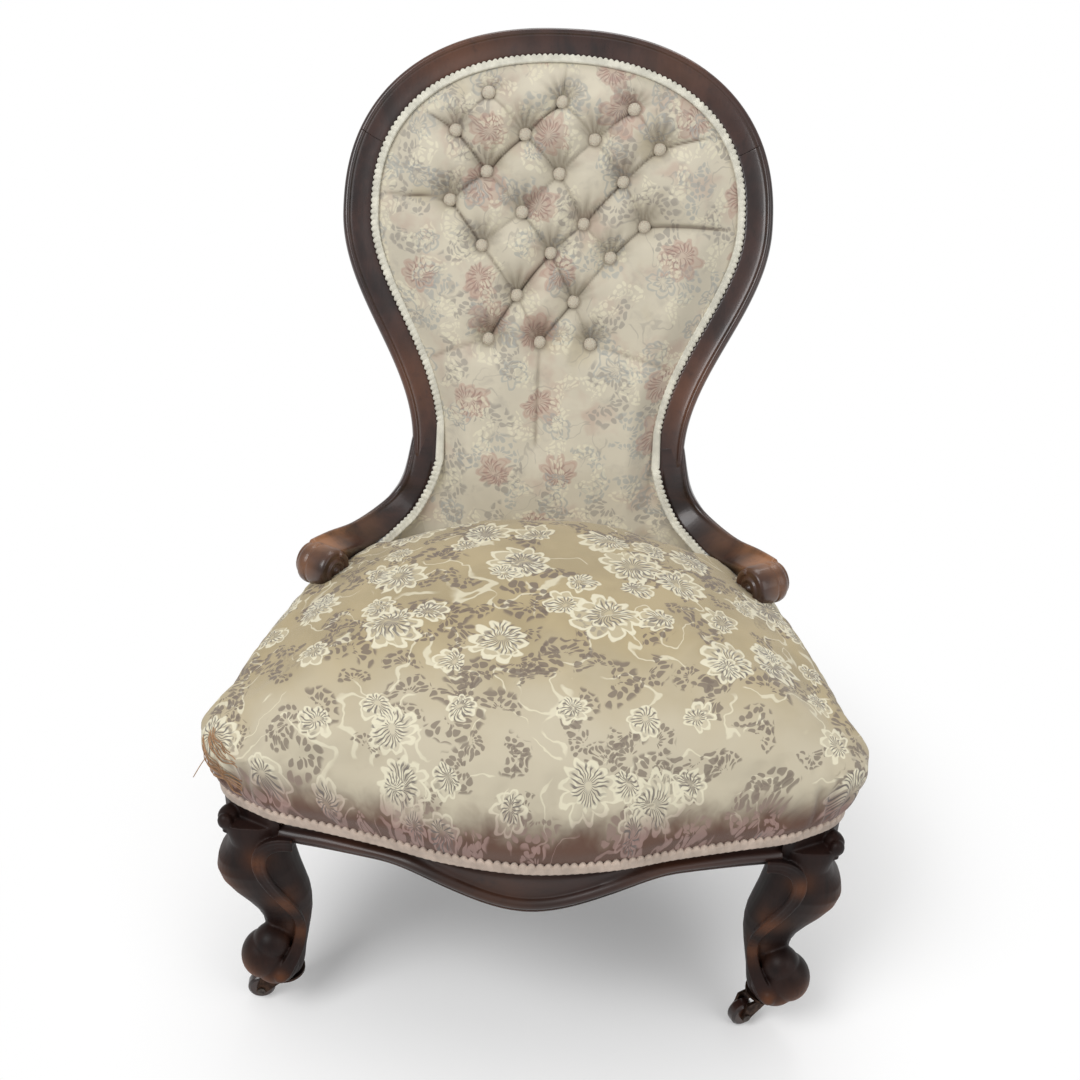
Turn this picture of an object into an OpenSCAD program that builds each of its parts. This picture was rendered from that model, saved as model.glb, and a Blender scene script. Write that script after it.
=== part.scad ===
// Low balloon back chair with a buttoned back, a sprung seat, scrolled arms and castors.
// Lengths are in millimetres. X runs across, Y from front to back and Z up.
// Left and right are as seen from the front. Inside the modules Y counts from the front rail.

/* [Overall] */
// Height of the crest above the floor
chair_h = 900; // [860:1:960]
// Height of the line where the seat cover ends on the rails
rail_z = 250; // [240:1:280]
// Diameter of the dowels in the frame
dowel_d = 9; // [6:0.5:10]
// Length of each dowel
dowel_len = 32; // [24:1:36]

/* [Seat frame] */
// Width of the seat frame over the front leg blocks
seat_w = 604; // [570:1:640]
// Depth of the seat from the bow of the front rail to the back
seat_d = 432; // [410:1:460]
// How far the front rail bows forward
bow = 20; // [10:1:30]
// Thickness of the seat rails
rail_t = 26; // [22:1:30]
// Height of bare rail below the cover
rail_show_h = 20; // [16:1:30]
// Height of the rail above the cover's lower edge
rail_hidden_h = 35; // [25:1:40]
// Depth of the step in the rails that the cover fills
rebate = 9; // [6:0.5:11]
// Drop of the shaped apron below the rail
apron_drop = 27; // [10:1:40]
// Half the length of the shaped apron
apron_half = 140; // [110:1:170]
// Rise of the cover's lower edge towards the front corners
corner_rise = 10; // [0:1:16]
// Size of the bead along the lower edge of the front rail
bead = 4; // [2:0.5:6]

/* [Seat upholstery] */
// Height of the seat's side from the rail line to its top edge
side_h = 92; // [75:1:110]
// Rise of the crown above the top edge
crown_h = 76; // [50:1:100]
// Rise of the seat's back edge at the middle
rear_rise = 40; // [20:1:50]
// Swell of the seat's sides beyond the rails
side_swell = 15; // [8:1:22]
// Further swell at the front
front_swell = 3; // [0:1:18]
// Further swell at the rear corners, under the arms
corner_swell = 16; // [0:1:22]
// Thickness of the cover and its top padding
cover_t = 18; // [12:1:24]
// Thickness of the hessian and of the dust cover
cloth_t = 1.5; // [1:0.1:3]
// Width of each seat web
web_w = 50; // [40:1:60]
// Thickness of the webbing
web_t = 2; // [1.5:0.1:3]
// Diameter of the spring wire
wire_d = 3.6; // [3:0.1:5]
// Largest diameter of a seat spring
spring_d = 84; // [60:1:95]
// Width of the braid
braid_w = 12; // [8:0.5:14]
// Thickness of the braid
braid_t = 2.5; // [1.5:0.1:3]

/* [Back frame] */
// Greatest width of the back
back_w = 493; // [460:1:530]
// Width of the back at its waist
waist_w = 317; // [290:1:340]
// Width of the crest rail's face
crest_face = 27; // [22:1:36]
// Width of the stile's face at the widest place
stile_face = 33; // [28:1:38]
// Width of the stile's face at the waist
waist_face = 30; // [26:1:34]
// Depth of the back frame from front to rear
frame_t = 28; // [24:1:34]
// Height of the stay rail under the back's padding
stay_h = 30; // [20:1:36]
// Lean of the back just above the seat, in degrees
lean_low = 20; // [16:0.5:23]
// Lean of the back at the crest, in degrees
lean_top = 26; // [22:0.5:30]

/* [Back upholstery] */
// Fullness of the padding in front of the frame
back_swell = 19; // [10:1:26]
// Depth of the button tufts
tuft_depth = 19; // [10:1:22]
// Thickness of the padding behind the frame's face
back_pad_t = 15; // [13:1:18]
// Diameter of the covered buttons
button_d = 15.5; // [12:0.5:18]
// Height of a covered button
button_h = 6; // [4:0.5:8]

/* [Arms] */
// Thickness of the scrolled arms
arm_t = 26; // [20:1:30]
// Diameter of the scroll at the end of each arm
scroll_d = 45; // [36:1:50]

/* [Legs] */
// Width of the square block at the top of a front leg
block_w = 62; // [54:1:68]
// Diameter of a front leg's ball foot
foot_d = 51; // [44:1:56]
// Diameter of the front leg at its base
leg_base_d = 46; // [42:1:50]
// Distance that the rear feet stand behind the back posts
rear_rake = 112; // [80:1:140]
// Diameter of the rear leg at its foot
rear_foot_d = 42; // [41:1:46]

/* [Castors] */
// Diameter of a castor wheel
wheel_d = 28; // [24:1:30]
// Width of a castor wheel
wheel_w = 13; // [10:0.5:16]
// Distance from the swivel's axis to the axle
trail = 26; // [22:1:28]
// Thickness of the castor's plate and fork metal
metal_t = 3; // [2:0.1:3.5]
// Diameter of the castor's plate
plate_d = 40; // [36:1:41]
// Diameter of the swivel pin
pin_d = 6; // [4:0.5:8]
// Diameter of the axle
axle_d = 5; // [4:0.5:6]
// Diameter of the castor screws
screw_d = 3; // [2.5:0.1:4]
// Length of the castor screws
screw_len = 14; // [10:1:18]

/* [Hidden] */
$fn = 48;

// Gap between soft pieces and what they lie against
soft_gap = 0.3;
// Radial clearance of a running fit
run_gap = 0.05;
// Overrun of every cut
over = 2;
wood = "#3b2018";
dark_wood = "#2e1913";
cloth = "#cdc6aa";
seat_cloth = "#c3b68d";
braid = "#d8cdb8";
linen = "#9c8462";
steel = "#8b8b8d";
brown_metal = "#4a3226";

// Vector helpers
function unit(v) = v / norm(v);
function mix(a, b, t) = a + (b - a) * t;
function flip_x(p) = [-p.x, p.y, p.z];
function flip_ring(ring) = [for (p = ring) flip_x(p)];
function curve_at(p, q, r, s, t) =
    (2 * q + (r - p) * t + (2 * p - 5 * q + 4 * r - s) * t * t + (3 * q - p - 3 * r + s) * t * t * t) / 2;
// A smooth closed curve through points, with a number of steps from each point to the next
function closed_curve(points, steps) = let (n = len(points)) [for (i = [0:n - 1]) for (k = [0:steps - 1])
    curve_at(points[(i + n - 1) % n], points[i], points[(i + 1) % n], points[(i + 2) % n], k / steps)];
// The same for an open curve
function open_curve(points, steps) = let (n = len(points)) concat([for (i = [0:n - 2]) for (k = [0:steps - 1])
    curve_at(points[max(i - 1, 0)], points[i], points[i + 1], points[min(i + 2, n - 1)], k / steps)],
    [points[n - 1]]);
// Interpolates a row of a table whose first column rises
function row_at(table, key, i = 0) = i >= len(table) - 2 || key < table[i + 1][0]
    ? mix(table[i], table[i + 1], (key - table[i][0]) / (table[i + 1][0] - table[i][0]))
    : row_at(table, key, i + 1);

// A closed solid through rings of points. Each ring runs anticlockwise about the way from ring to ring.
// The hub is the point that the end faces fan out from.
module skin(rings, hub = 0) {
    n = len(rings[0]);
    last = (len(rings) - 1) * n;
    sides = [for (i = [0:len(rings) - 2]) for (j = [0:n - 1])
        let (a = i * n + j, b = i * n + (j + 1) % n) each [[b + n, b, a], [a + n, b + n, a]]];
    fan = [for (j = [0:n - 1]) if (j != hub && (j + 1) % n != hub) [hub, j, (j + 1) % n]];
    polyhedron([for (r = rings) each r],
        concat(sides, fan, [for (f = fan) [last + f[0], last + f[2], last + f[1]]]), convexity = 8);
}

// Turns the Z axis to a direction
module aim(v) {
    rotate([0, acos(v.z / norm(v)), atan2(v.y, v.x)]) children();
}

// Back surface

// Height where the back's padding meets the seat
seat_top_z = rail_z + side_h + rear_rise - web_t;
back_rise = chair_h - seat_top_z;
back_face_y = seat_d - bow;
function lean_gain(z) = tan(lean_low) + (tan(lean_top) - tan(lean_low)) * (z - seat_top_z) / back_rise;
// Y of the frame's front face at a height
function back_y(z) = back_face_y + (z - seat_top_z)
    * (tan(lean_low) + (tan(lean_top) - tan(lean_low)) * (z - seat_top_z) / back_rise / 2);
// Direction that the back's face looks in at a height
function back_normal(z) = unit([0, -1, lean_gain(z)]);
// A point at x and z, moved out of the back's face by a distance
function on_back(x, z, out = 0) = [x, back_y(z), z] + out * back_normal(z);

// Outline of the back, from the crest's middle down to the foot of the right post
round_power = 2.3;
widest_share = 0.627;
waist_share = 0.16;
widest_z = seat_top_z + back_rise * widest_share;
waist_z = seat_top_z + back_rise * waist_share;
crest_rise = chair_h - widest_z;
post_foot_z = rail_z - rail_show_h + web_t;
crest_steps = 16;
joint_step = 12;
side_steps = 10;
post_steps = 4;
rim_count = crest_steps + side_steps + post_steps;
function crest_point(k) = let (a = 90 * k / crest_steps)
    [back_w / 2 * pow(sin(a), 2 / round_power), widest_z + crest_rise * pow(cos(a), 2 / round_power)];
function side_point(k) = let (s = k / side_steps)
    [mix(waist_w, back_w, (1 + cos(180 * s)) / 2) / 2, mix(widest_z, waist_z, s)];
function post_point(k) = [waist_w / 2, mix(waist_z, post_foot_z, k / post_steps)];
rim_path = concat([for (k = [0:crest_steps]) crest_point(k)], [for (k = [1:side_steps]) side_point(k)],
    [for (k = [1:post_steps]) post_point(k)]);
rim_faces = [for (k = [0:rim_count]) k <= crest_steps ? mix(crest_face, stile_face, k / crest_steps)
    : mix(stile_face, waist_face, min(1, (k - crest_steps) / side_steps))];
function rim_way(k) = k == 0 ? [1, 0] : k >= rim_count - 1 ? [0, -1] : unit(rim_path[k + 1] - rim_path[k - 1]);
// A point of the outline at a step, moved in from the edge and out of the face
function rim_point(k, inset, out) = let (w = rim_way(k), p = rim_path[k], in = [w[1], -w[0]],
        q = [p[0] + in[0] * inset, p[1] + in[1] * inset]) on_back(max(q[0], 0), q[1], out);
// The frame's section: across shares from the outer edge and depth shares from the front
frame_section_share = [[0, 0.34], [0.04, 0.14], [0.14, 0], [0.26, 0.02], [0.45, 0.13], [0.70, 0.19], [1, 0.21],
    [1, 0.88], [0.92, 1], [0.12, 1], [0, 0.82]];
edge_depth_share = 0.21;
edge_depth = frame_t * edge_depth_share;
function rim_ring(k) = [for (s = frame_section_share) rim_point(k, s[0] * rim_faces[k], -s[1] * frame_t)];
rim_rings = [for (k = [0:rim_count]) rim_ring(k)];

module crest_rail() {
    color(wood) difference() {
        skin(concat([for (k = [joint_step:-1:1]) flip_ring(rim_rings[k])],
            [for (k = [0:joint_step]) rim_rings[k]]), 6);
        dowels();
    }
}

module stile_body() {
    skin([for (k = [joint_step:rim_count]) rim_rings[k]], 6);
}

module stile() {
    color(wood) difference() {
        stile_body();
        dowels();
    }
}

// A bar between the posts from one height to another, at a depth behind the face
module cross_bar(low_z, high_z, front, rear) {
    x = waist_w / 2 - waist_face;
    ring = [[low_z, front], [low_z, rear], [high_z, rear], [high_z, front]];
    skin([[for (p = ring) on_back(-x, p[0], -p[1])], [for (p = ring) on_back(x, p[0], -p[1])]]);
}

stay_top_z = seat_top_z - web_t;

module stay_rail() {
    color(wood) difference() {
        cross_bar(stay_top_z - stay_h, stay_top_z, edge_depth, frame_t);
        dowels();
    }
}

module rear_rail() {
    color(dark_wood) difference() {
        cross_bar(post_foot_z, rail_z + rail_hidden_h, web_t, frame_t);
        dowels();
    }
}

// Arms

// Middle of the arm's face: across shares of the post's place and the scroll's, back shares and rises
arm_in_x = waist_w / 2;
scroll_x_share = 0.8;
scroll_back_share = 0.26;
scroll_x = seat_w / 2 * scroll_x_share;
scroll_y = back_face_y - seat_d * scroll_back_share;
scroll_top_z = rail_z + side_h + scroll_d + arm_t / 2;
arm_start_z = waist_z - waist_face / 2;
arm_share = [[-0.18, -0.06, 1.45], [-0.084, 0.065, 0.53], [0.078, 0.144, 0.04], [0.295, 0.30, -0.187],
    [0.584, 0.555, -0.27], [0.836, 0.794, -0.22], [1.01, 0.99, -0.16]];
arm_path = open_curve([for (s = arm_share) [mix(arm_in_x, scroll_x, s[0]),
    mix(back_y(arm_start_z), scroll_y, s[1]), mix(scroll_top_z, arm_start_z, s[2])]], 2);
arm_end_share = 1.25;
arm_face_end = arm_end_share * waist_face;
// Section of the arm, across shares from its middle and depth shares
arm_section_share = [[0.5, 0.34], [0.46, 0.14], [0.36, 0], [0.2, 0.03], [0, 0.12], [-0.3, 0.14], [-0.5, 0.2],
    [-0.5, 0.9], [-0.4, 1], [0.4, 1], [0.5, 0.85]];
scroll_sides = 20;
// How far the drum of the scroll is wider than the arm
volute_rise = arm_t / 6;
// The way that the arm's face looks half way along
arm_mid_normal = unit([-1, -1, 1]);
module arm_solid(grow = 0) {
    n = len(arm_path) - 1;
    rings = [for (k = [0:n]) let (way = unit(arm_path[min(k + 1, n)] - arm_path[max(k - 1, 0)]), t = k / n,
            raw = mix(mix(back_normal(waist_z), arm_mid_normal, t), mix(arm_mid_normal, [0, 0, 1], t), t),
            face = unit(raw - way * (raw * way)),
            side = cross(face, way), w = mix(waist_face, arm_face_end, t) + 2 * grow)
        [for (s = arm_section_share)
            arm_path[k] + side * s[0] * w - face * (s[1] * (arm_t + 2 * grow) - grow)]];
    skin(rings, 6);
    skin([for (m = [0.5, -0.5]) [for (j = [0:scroll_sides - 1]) let (a = 360 * (j + 0.5) / scroll_sides)
        scroll_at + scroll_way * m * (arm_face_end + volute_rise + 2 * grow)
            + (arm_run * cos(a) + [0, 0, sin(a)]) * (scroll_d / 2 + grow)]]);
}
arm_run = unit([scroll_x - arm_in_x, scroll_y - back_y(arm_start_z), 0]);
scroll_way = [-arm_run.y, arm_run.x, 0];
scroll_at = [scroll_x, scroll_y, scroll_top_z - scroll_d / 2] + arm_run * scroll_d / 8;

module scroll_arm() {
    color(wood) difference() {
        arm_solid();
        translate([arm_in_x - seat_w, 0, 0]) cube([seat_w, 2 * seat_d, chair_h]);
        stile_body();
        dowels();
    }
}

// Seat plan

// Half of the seat's outline, as shares of half the seat's width and of its depth
seat_plan_share = [[0, 0], [0.25, 0.016], [0.45, 0.046], [0.64, 0.069]];
corner_share = [[0.87, 0.112], [0.955, 0.145], [1, 0.188]];
side_share = [[0.945, 0.42], [0.87, 0.60], [0.79, 0.74], [0.675, 0.845], [0.565, 0.915]];
rear_share = [[0.3, 1.01], [0, 1.01]];
function in_plan(s) = [s[0] * seat_w / 2, s[1] * seat_d - bow];
leg_in_x = seat_w / 2 - block_w;
leg_side_y = block_w + bow;
leg_corner_share = [0.998, 0.09];
half_plan = concat([for (s = seat_plan_share) in_plan(s)], [[leg_in_x, in_plan(leg_corner_share).y]],
    [for (s = corner_share) in_plan(s)], [[in_plan(leg_corner_share).x, leg_side_y]],
    [for (s = side_share) in_plan(s)], [for (s = rear_share) in_plan(s)]);
half_n = len(half_plan) - 1;
plan_steps = 2;
plan = closed_curve(concat(half_plan, [for (i = [half_n - 1:-1:1]) [-half_plan[i][0], half_plan[i][1]]]),
    plan_steps);
plan_n = len(plan);
leg_from = 4 * plan_steps;
leg_to = 8 * plan_steps;
side_to = 13 * plan_steps;
function plan_out(i) = let (w = unit(plan[(i + 1) % plan_n] - plan[(i + plan_n - 1) % plan_n])) [w[1], -w[0]];
// A plan point moved outwards, no further back than the back's face at that height
function seat_point(i, out, z, gap = soft_gap) = let (n = plan_out(i), x = plan[i][0] + n[0] * out,
    y = plan[i][1] + n[1] * out) [x, min(y, back_y(z) - gap), z];
// Slides a point along the outline's direction to an X
function slid(i, p, x) = let (n = plan_out(i)) [x, p.y - (x - p.x) * n.x / n.y, p.z];
function line_z(i) = rail_z + corner_rise * pow(abs(plan[i][0]) / (seat_w / 2), 2);
rail_top_z = rail_z + rail_hidden_h;
rail_low_z = rail_z - rail_show_h;
function apron_z(x) = rail_low_z - apron_drop * pow(cos(90 * min(1, abs(x) / apron_half)), 2);

function rail_ring(i, low_z) = [seat_point(i, -rail_t, low_z, 0), seat_point(i, -bead, low_z, 0),
    seat_point(i, 0, low_z + bead, 0), seat_point(i, 0, line_z(i), 0), seat_point(i, -rebate, line_z(i), 0),
    seat_point(i, -rebate, rail_top_z, 0), seat_point(i, -rail_t, rail_top_z, 0)];
function turned(ring) = [for (i = [len(ring) - 1:-1:0]) ring[i]];

module front_rail() {
    right = [for (i = [0:leg_from]) rail_ring(i, apron_z(plan[i][0]))];
    trimmed = [for (i = [0:leg_from]) i < leg_from ? right[i] : [for (p = right[i]) slid(i, p, leg_in_x)]];
    color(wood) difference() {
        skin([for (r = concat([for (i = [leg_from:-1:1]) flip_ring(trimmed[i])], trimmed)) turned(r)], 2);
        dowels();
    }
}

module side_rail() {
    rings = [for (i = [leg_to:side_to]) i > leg_to ? rail_ring(i, rail_low_z)
        : [for (p = rail_ring(i, rail_low_z)) [p.x, leg_side_y, p.z]]];
    color(dark_wood) difference() {
        skin([for (r = rings) turned(r)], 2);
        dowels();
    }
}

// Dowels: middle, direction and the side that each is on
post_x = (waist_w - waist_face) / 2;
post_mid = frame_t / 2;
joint_in = (rim_point(joint_step, rim_faces[joint_step] / 2, -post_mid));
joint_way = let (w = rim_way(joint_step), z = joint_in.z) unit([w[0], w[1] * lean_gain(z), w[1]]);
rail_mid_z = (rail_low_z + rail_z) / 2 + bead;
half_dowels = [[joint_in, joint_way],
    [on_back(arm_in_x, scroll_top_z, -post_mid), [1, 0, 0]],
    [on_back(waist_w / 2 - waist_face, stay_top_z - stay_h / 2, -(frame_t + edge_depth) / 2), [1, 0, 0]],
    [on_back(waist_w / 2 - waist_face, rail_z + 1.5 * dowel_d, -post_mid), [1, 0, 0]],
    [[seat_w / 2 - rail_t / 2, leg_side_y, rail_mid_z], [0, 1, 0]],
    [[leg_in_x, plan[leg_from][1] + rail_t / 2, rail_mid_z], [1, 0, 0]],
    [[post_x + dowel_d / 4, back_y(rail_mid_z), rail_mid_z], [0, 1, 0]],
    [[post_x, back_y(post_foot_z) + post_mid, post_foot_z], [0, 0, 1]]];
module dowels() {
    for (d = half_dowels) for (m = [0, 1]) mirror([m, 0, 0])
        translate(d[0]) aim(d[1]) cylinder(h = dowel_len, d = dowel_d, center = true);
}

module frame_dowels() {
    color("tan") dowels();
}

// Legs

// Height of the front legs' and rear legs' undersides
castor_h = wheel_d + 3 * metal_t;
// Rows of height share, across and back offsets as shares of the block, and half widths likewise
front_leg_share = [[1, 0, 0, 0.50, 0.48], [0.80, 0.06, -0.02, 0.55, 0.52], [0.66, 0.11, -0.05, 0.58, 0.53],
    [0.53, 0.02, -0.01, 0.57, 0.49], [0.44, -0.14, 0.04, 0.51, 0.44], [0.335, -0.26, 0.08, 0.41, 0.39],
    [0.225, -0.31, 0.10, 0.365, 0.365], [0.13, -0.31, 0.06, 0.37, 0.38]];
leg_span = rail_low_z - castor_h;
leg_x = seat_w / 2 - block_w / 2;
leg_y = leg_side_y - block_w / 2;
// Places of the swivel and of the ball foot from the block's middle
swivel_share = [-0.32, -0.1];
ball_share = [-0.05, -0.28];
swivel_x = leg_x + swivel_share.x * block_w;
swivel_y = leg_y + swivel_share.y * block_w;
leg_sides = 16;
// Powers of the legs' sections: 1 is round and less is squarer
block_power = 0.6;
shank_power = 0.85;
block_from_share = 0.9;
// A ring of a leg: a rounded square about a middle
function leg_ring(x, y, z, rx, ry, power) = [for (i = [0:leg_sides - 1]) let (a = 360 * i / leg_sides)
    [x + rx * sign(cos(a)) * pow(abs(cos(a)), power), y + ry * sign(sin(a)) * pow(abs(sin(a)), power), z]];
function block_points(inset) = concat([for (i = [leg_from:leg_to]) let (p = seat_point(i, -inset, rail_z),
        q = i == leg_from ? slid(i, p, leg_in_x) : p)
    [max(leg_in_x, q.x), i == leg_to ? leg_side_y : min(leg_side_y, q.y)]],
    [[leg_in_x, leg_side_y]]);

module front_leg() {
    rows = [for (r = front_leg_share) leg_ring(leg_x + r[1] * block_w, leg_y + r[2] * block_w,
        castor_h + r[0] * leg_span, r[3] * block_w, r[4] * block_w,
        r[0] > block_from_share ? block_power : shank_power)];
    base = leg_ring(swivel_x, swivel_y, castor_h, leg_base_d / 2, leg_base_d / 2, 1);
    color(wood) difference() {
        union() {
            skin(concat([base], turned(rows)));
            translate([0, 0, rail_low_z - bead]) linear_extrude(rail_show_h + bead) polygon(block_points(0));
            translate([0, 0, rail_z - bead]) linear_extrude(rail_hidden_h + bead)
                polygon(block_points(rebate + soft_gap));
            translate([leg_x + ball_share.x * block_w, leg_y + ball_share.y * block_w,
                castor_h + foot_d / 2 + metal_t]) sphere(d = foot_d);
        }
        dowels();
        castor_holes(swivel_x, swivel_y);
    }
}

rear_x = post_x + waist_face / 4;
rear_y = back_y(post_foot_z) + post_mid + rear_rake;
rear_leg_share = [[0, 1, 1], [0.12, 0.93, 0.86], [0.35, 0.62, 0.8], [0.6, 0.3, 0.86], [0.85, 0.07, 0.98]];
square_from_share = 0.5;
head_power = 0.3;
module rear_leg() {
    rings = [for (r = rear_leg_share) leg_ring(mix(post_x, rear_x, r[1]),
        back_y(post_foot_z) + post_mid + rear_rake * r[1], mix(castor_h, post_foot_z, r[0]),
        r[2] * rear_foot_d / 2, r[2] * rear_foot_d / 2, r[0] > square_from_share ? block_power : 1)];
    head = [for (p = leg_ring(post_x, post_mid, post_foot_z, waist_face / 2, frame_t / 2, head_power))
        on_back(p.x, post_foot_z, -p.y)];
    color(wood) difference() {
        skin(concat(rings, [head]));
        dowels();
        castor_holes(rear_x, rear_y);
    }
}

// Castors

plate_low_z = castor_h - metal_t;
head_h = metal_t;
head_d = pin_d + head_h;
fork_top_z = plate_low_z - soft_gap;
fork_in = wheel_w / 2 + 2 * soft_gap;
crown_d = 2 * (fork_in + metal_t);
screw_ring_d = (plate_d + pin_d + screw_d) / 2;
screw_head_d = 2 * screw_d;
screw_count = 3;
screw_turn = 90;
screw_places = [for (i = [0:screw_count - 1]) let (a = 360 * i / screw_count + screw_turn)
    [cos(a), sin(a)] * screw_ring_d / 2];
axle_head_d = 1.6 * axle_d;
axle_head_h = metal_t / 2;
// Where each castor stands and the way that it trails, in degrees
castor_turns = [188, 206, 196, 194];
castor_places = [[-swivel_x, swivel_y, castor_turns[0]], [swivel_x, swivel_y, castor_turns[1]],
    [-rear_x, rear_y, castor_turns[2]], [rear_x, rear_y, castor_turns[3]]];

// Room in a foot for a castor's riveted head and screws
module castor_holes(x, y) {
    translate([x, y, castor_h - over]) cylinder(h = head_h + 2 * soft_gap + over, d = head_d + metal_t / 2);
    for (p = screw_places) translate([x + p[0], y + p[1], plate_low_z]) cylinder(h = screw_len, d = screw_d);
}

module castor_plate(i) {
    c = castor_places[i];
    color(brown_metal) translate([c[0], c[1], plate_low_z]) difference() {
        cylinder(h = metal_t, d = plate_d);
        translate([0, 0, -over]) cylinder(h = metal_t + 2 * over, d = pin_d + 2 * run_gap);
        for (p = screw_places) translate([p[0], p[1], 0]) screw();
    }
}

module screw() {
    cylinder(h = screw_len, d = screw_d);
    cylinder(h = screw_d / 2, d1 = screw_head_d, d2 = screw_d);
}

module castor_screws() {
    color(steel) for (c = castor_places) for (p = screw_places)
        translate([c[0] + p[0], c[1] + p[1], plate_low_z]) screw();
}

module castor_fork(i) {
    c = castor_places[i];
    drop = fork_top_z - wheel_d / 2;
    color(brown_metal) translate([c[0], c[1], 0]) rotate(c[2]) difference() {
        union() {
            translate([0, 0, fork_top_z - metal_t]) cylinder(h = metal_t, d = crown_d);
            translate([0, 0, fork_top_z - metal_t])
                cylinder(h = castor_h + soft_gap + metal_t - fork_top_z, d = pin_d);
            translate([0, 0, castor_h + soft_gap]) cylinder(h = head_h, d = head_d);
            translate([0, -fork_in - metal_t, fork_top_z - metal_t]) cube([trail / 3, crown_d, metal_t]);
            for (s = [-1, 1]) translate([0, s * (fork_in + metal_t / 2), 0]) rotate([90, 0, 0])
                linear_extrude(metal_t, center = true) {
                    polygon([[-metal_t, fork_top_z], [-metal_t, fork_top_z - metal_t],
                        [trail - axle_d, wheel_d / 2 - axle_d / 2], [trail + axle_d, wheel_d / 2],
                        [trail, fork_top_z - metal_t], [trail / 3, fork_top_z]]);
                    translate([trail, wheel_d / 2]) circle(d = 2 * axle_d);
                }
        }
        translate([trail, 0, wheel_d / 2]) rotate([90, 0, 0])
            cylinder(h = crown_d + 2 * over, d = axle_d, center = true);
    }
}

module castor_axle(i) {
    c = castor_places[i];
    color(steel) translate([c[0], c[1], 0]) rotate(c[2]) translate([trail, 0, wheel_d / 2]) rotate([90, 0, 0]) {
        cylinder(h = crown_d, d = axle_d, center = true);
        for (m = [0, 1]) mirror([0, 0, m]) translate([0, 0, crown_d / 2])
            cylinder(h = axle_head_h, d = axle_head_d);
    }
}

module castor_wheel(i) {
    c = castor_places[i];
    r = wheel_d / 2;
    h = wheel_w / 2;
    e = wheel_w / 5;
    bore = axle_d / 2 + run_gap;
    color("#3a2418") translate([c[0], c[1], 0]) rotate(c[2]) translate([trail, 0, r]) rotate([90, 0, 0])
        rotate_extrude() polygon([[bore, -h], [r - e, -h], [r - e / 3, e / 2 - h], [r, e - h], [r, h - e],
            [r - e / 3, h - e / 2], [r - e, h], [bore, h]]);
}

// Seat upholstery

seat_mid_y = seat_d / 2;
seat_edge_z = rail_z + side_h;
crown_z = seat_edge_z + crown_h;
// The top edge rises towards the back from a share of the depth on, and less so at the corners
rise_from_share = 0.35;
rise_power = 1.2;
corner_drop_share = 0.5;
function edge_z(i) = let (x = min(1, abs(plan[i][0]) / arm_in_x), y = (plan[i][1] + bow) / seat_d)
    seat_edge_z + rear_rise * pow(max(0, (y - rise_from_share) / (1 - rise_from_share)), rise_power)
        * (1 - corner_drop_share * x * x);
function swell(i) = let (n = plan_out(i)) side_swell + front_swell * max(0, -n.y)
    + 2 * corner_swell * max(0, abs(n.x) * n.y);
// The side of the cover: swell shares and height shares
side_shape_share = [[0.62, 0.30], [0.97, 0.52], [1, 0.68], [0.70, 0.87], [-0.6, 1]];
top_shape_share = [0.86, 0.66, 0.42, 0.18];
dome_powers = [2.4, 0.85];
function side_ring(s) = [for (i = [0:plan_n - 1]) let (z = mix(line_z(i), edge_z(i), s[1]))
    seat_point(i, s[0] * swell(i), z)];
function dome(edge, s, drop) = let (x = edge.x * s, y = mix(seat_mid_y, edge.y, s),
    z = mix(edge.z, crown_z, pow(1 - pow(s, dome_powers[0]), dome_powers[1])) - drop)
    [x, min(y, back_y(z) - soft_gap), z];
top_edge = side_ring([-0.6, 1]);
function top_ring(s, drop) = [for (p = top_edge) dome(p, s, drop)];
pad_low_z = rail_top_z + cloth_t;
// The cover's inner wall: just inside the rails' step, and a step's depth in front of the rear rail
function wall_point(i, z) = seat_point(i, soft_gap - rebate, z,
    i > side_to && i < plan_n - side_to ? rebate : soft_gap);
function wall_ring(z) = [for (i = [0:plan_n - 1]) wall_point(i, z)];
function line_ring(up) = [for (i = [0:plan_n - 1]) seat_point(i, 0, line_z(i) + up)];
pad_edge = [for (i = [0:plan_n - 1]) let (p = top_edge[i], q = plan_out(i))
    [p.x - q[0] * rebate, p.y - q[1] * rebate, p.z - cover_t]];
inner_rings = concat([wall_ring(pad_low_z)], [pad_edge], [for (s = top_shape_share) top_ring(s, cover_t)]);

module seat_cover() {
    outer = concat([line_ring(soft_gap / 2), line_ring(braid_w)], [for (s = side_shape_share) side_ring(s)],
        [for (s = top_shape_share) top_ring(s, 0)]);
    inner = concat([[for (i = [0:plan_n - 1]) wall_point(i, line_z(i) + soft_gap / 2)]], inner_rings);
    rings = concat([for (i = [len(inner) - 1:-1:0]) inner[i]], outer);
    n = plan_n;
    last = (len(rings) - 1) * n;
    apex = len(rings) * n;
    points = concat([for (r = rings) each r], [[0, seat_mid_y, crown_z - cover_t], [0, seat_mid_y, crown_z]]);
    faces = concat([for (i = [0:len(rings) - 2]) for (j = [0:n - 1])
        let (a = i * n + j, b = i * n + (j + 1) % n) each [[b + n, b, a], [a + n, b + n, a]]],
        [for (j = [0:n - 1]) [apex, j, (j + 1) % n]],
        [for (j = [0:n - 1]) [apex + 1, last + (j + 1) % n, last + j]]);
    color(seat_cloth) difference() {
        polyhedron(points, faces, convexity = 8);
        for (m = [0, 1]) mirror([m, 0, 0]) arm_solid(soft_gap);
    }
}

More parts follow.
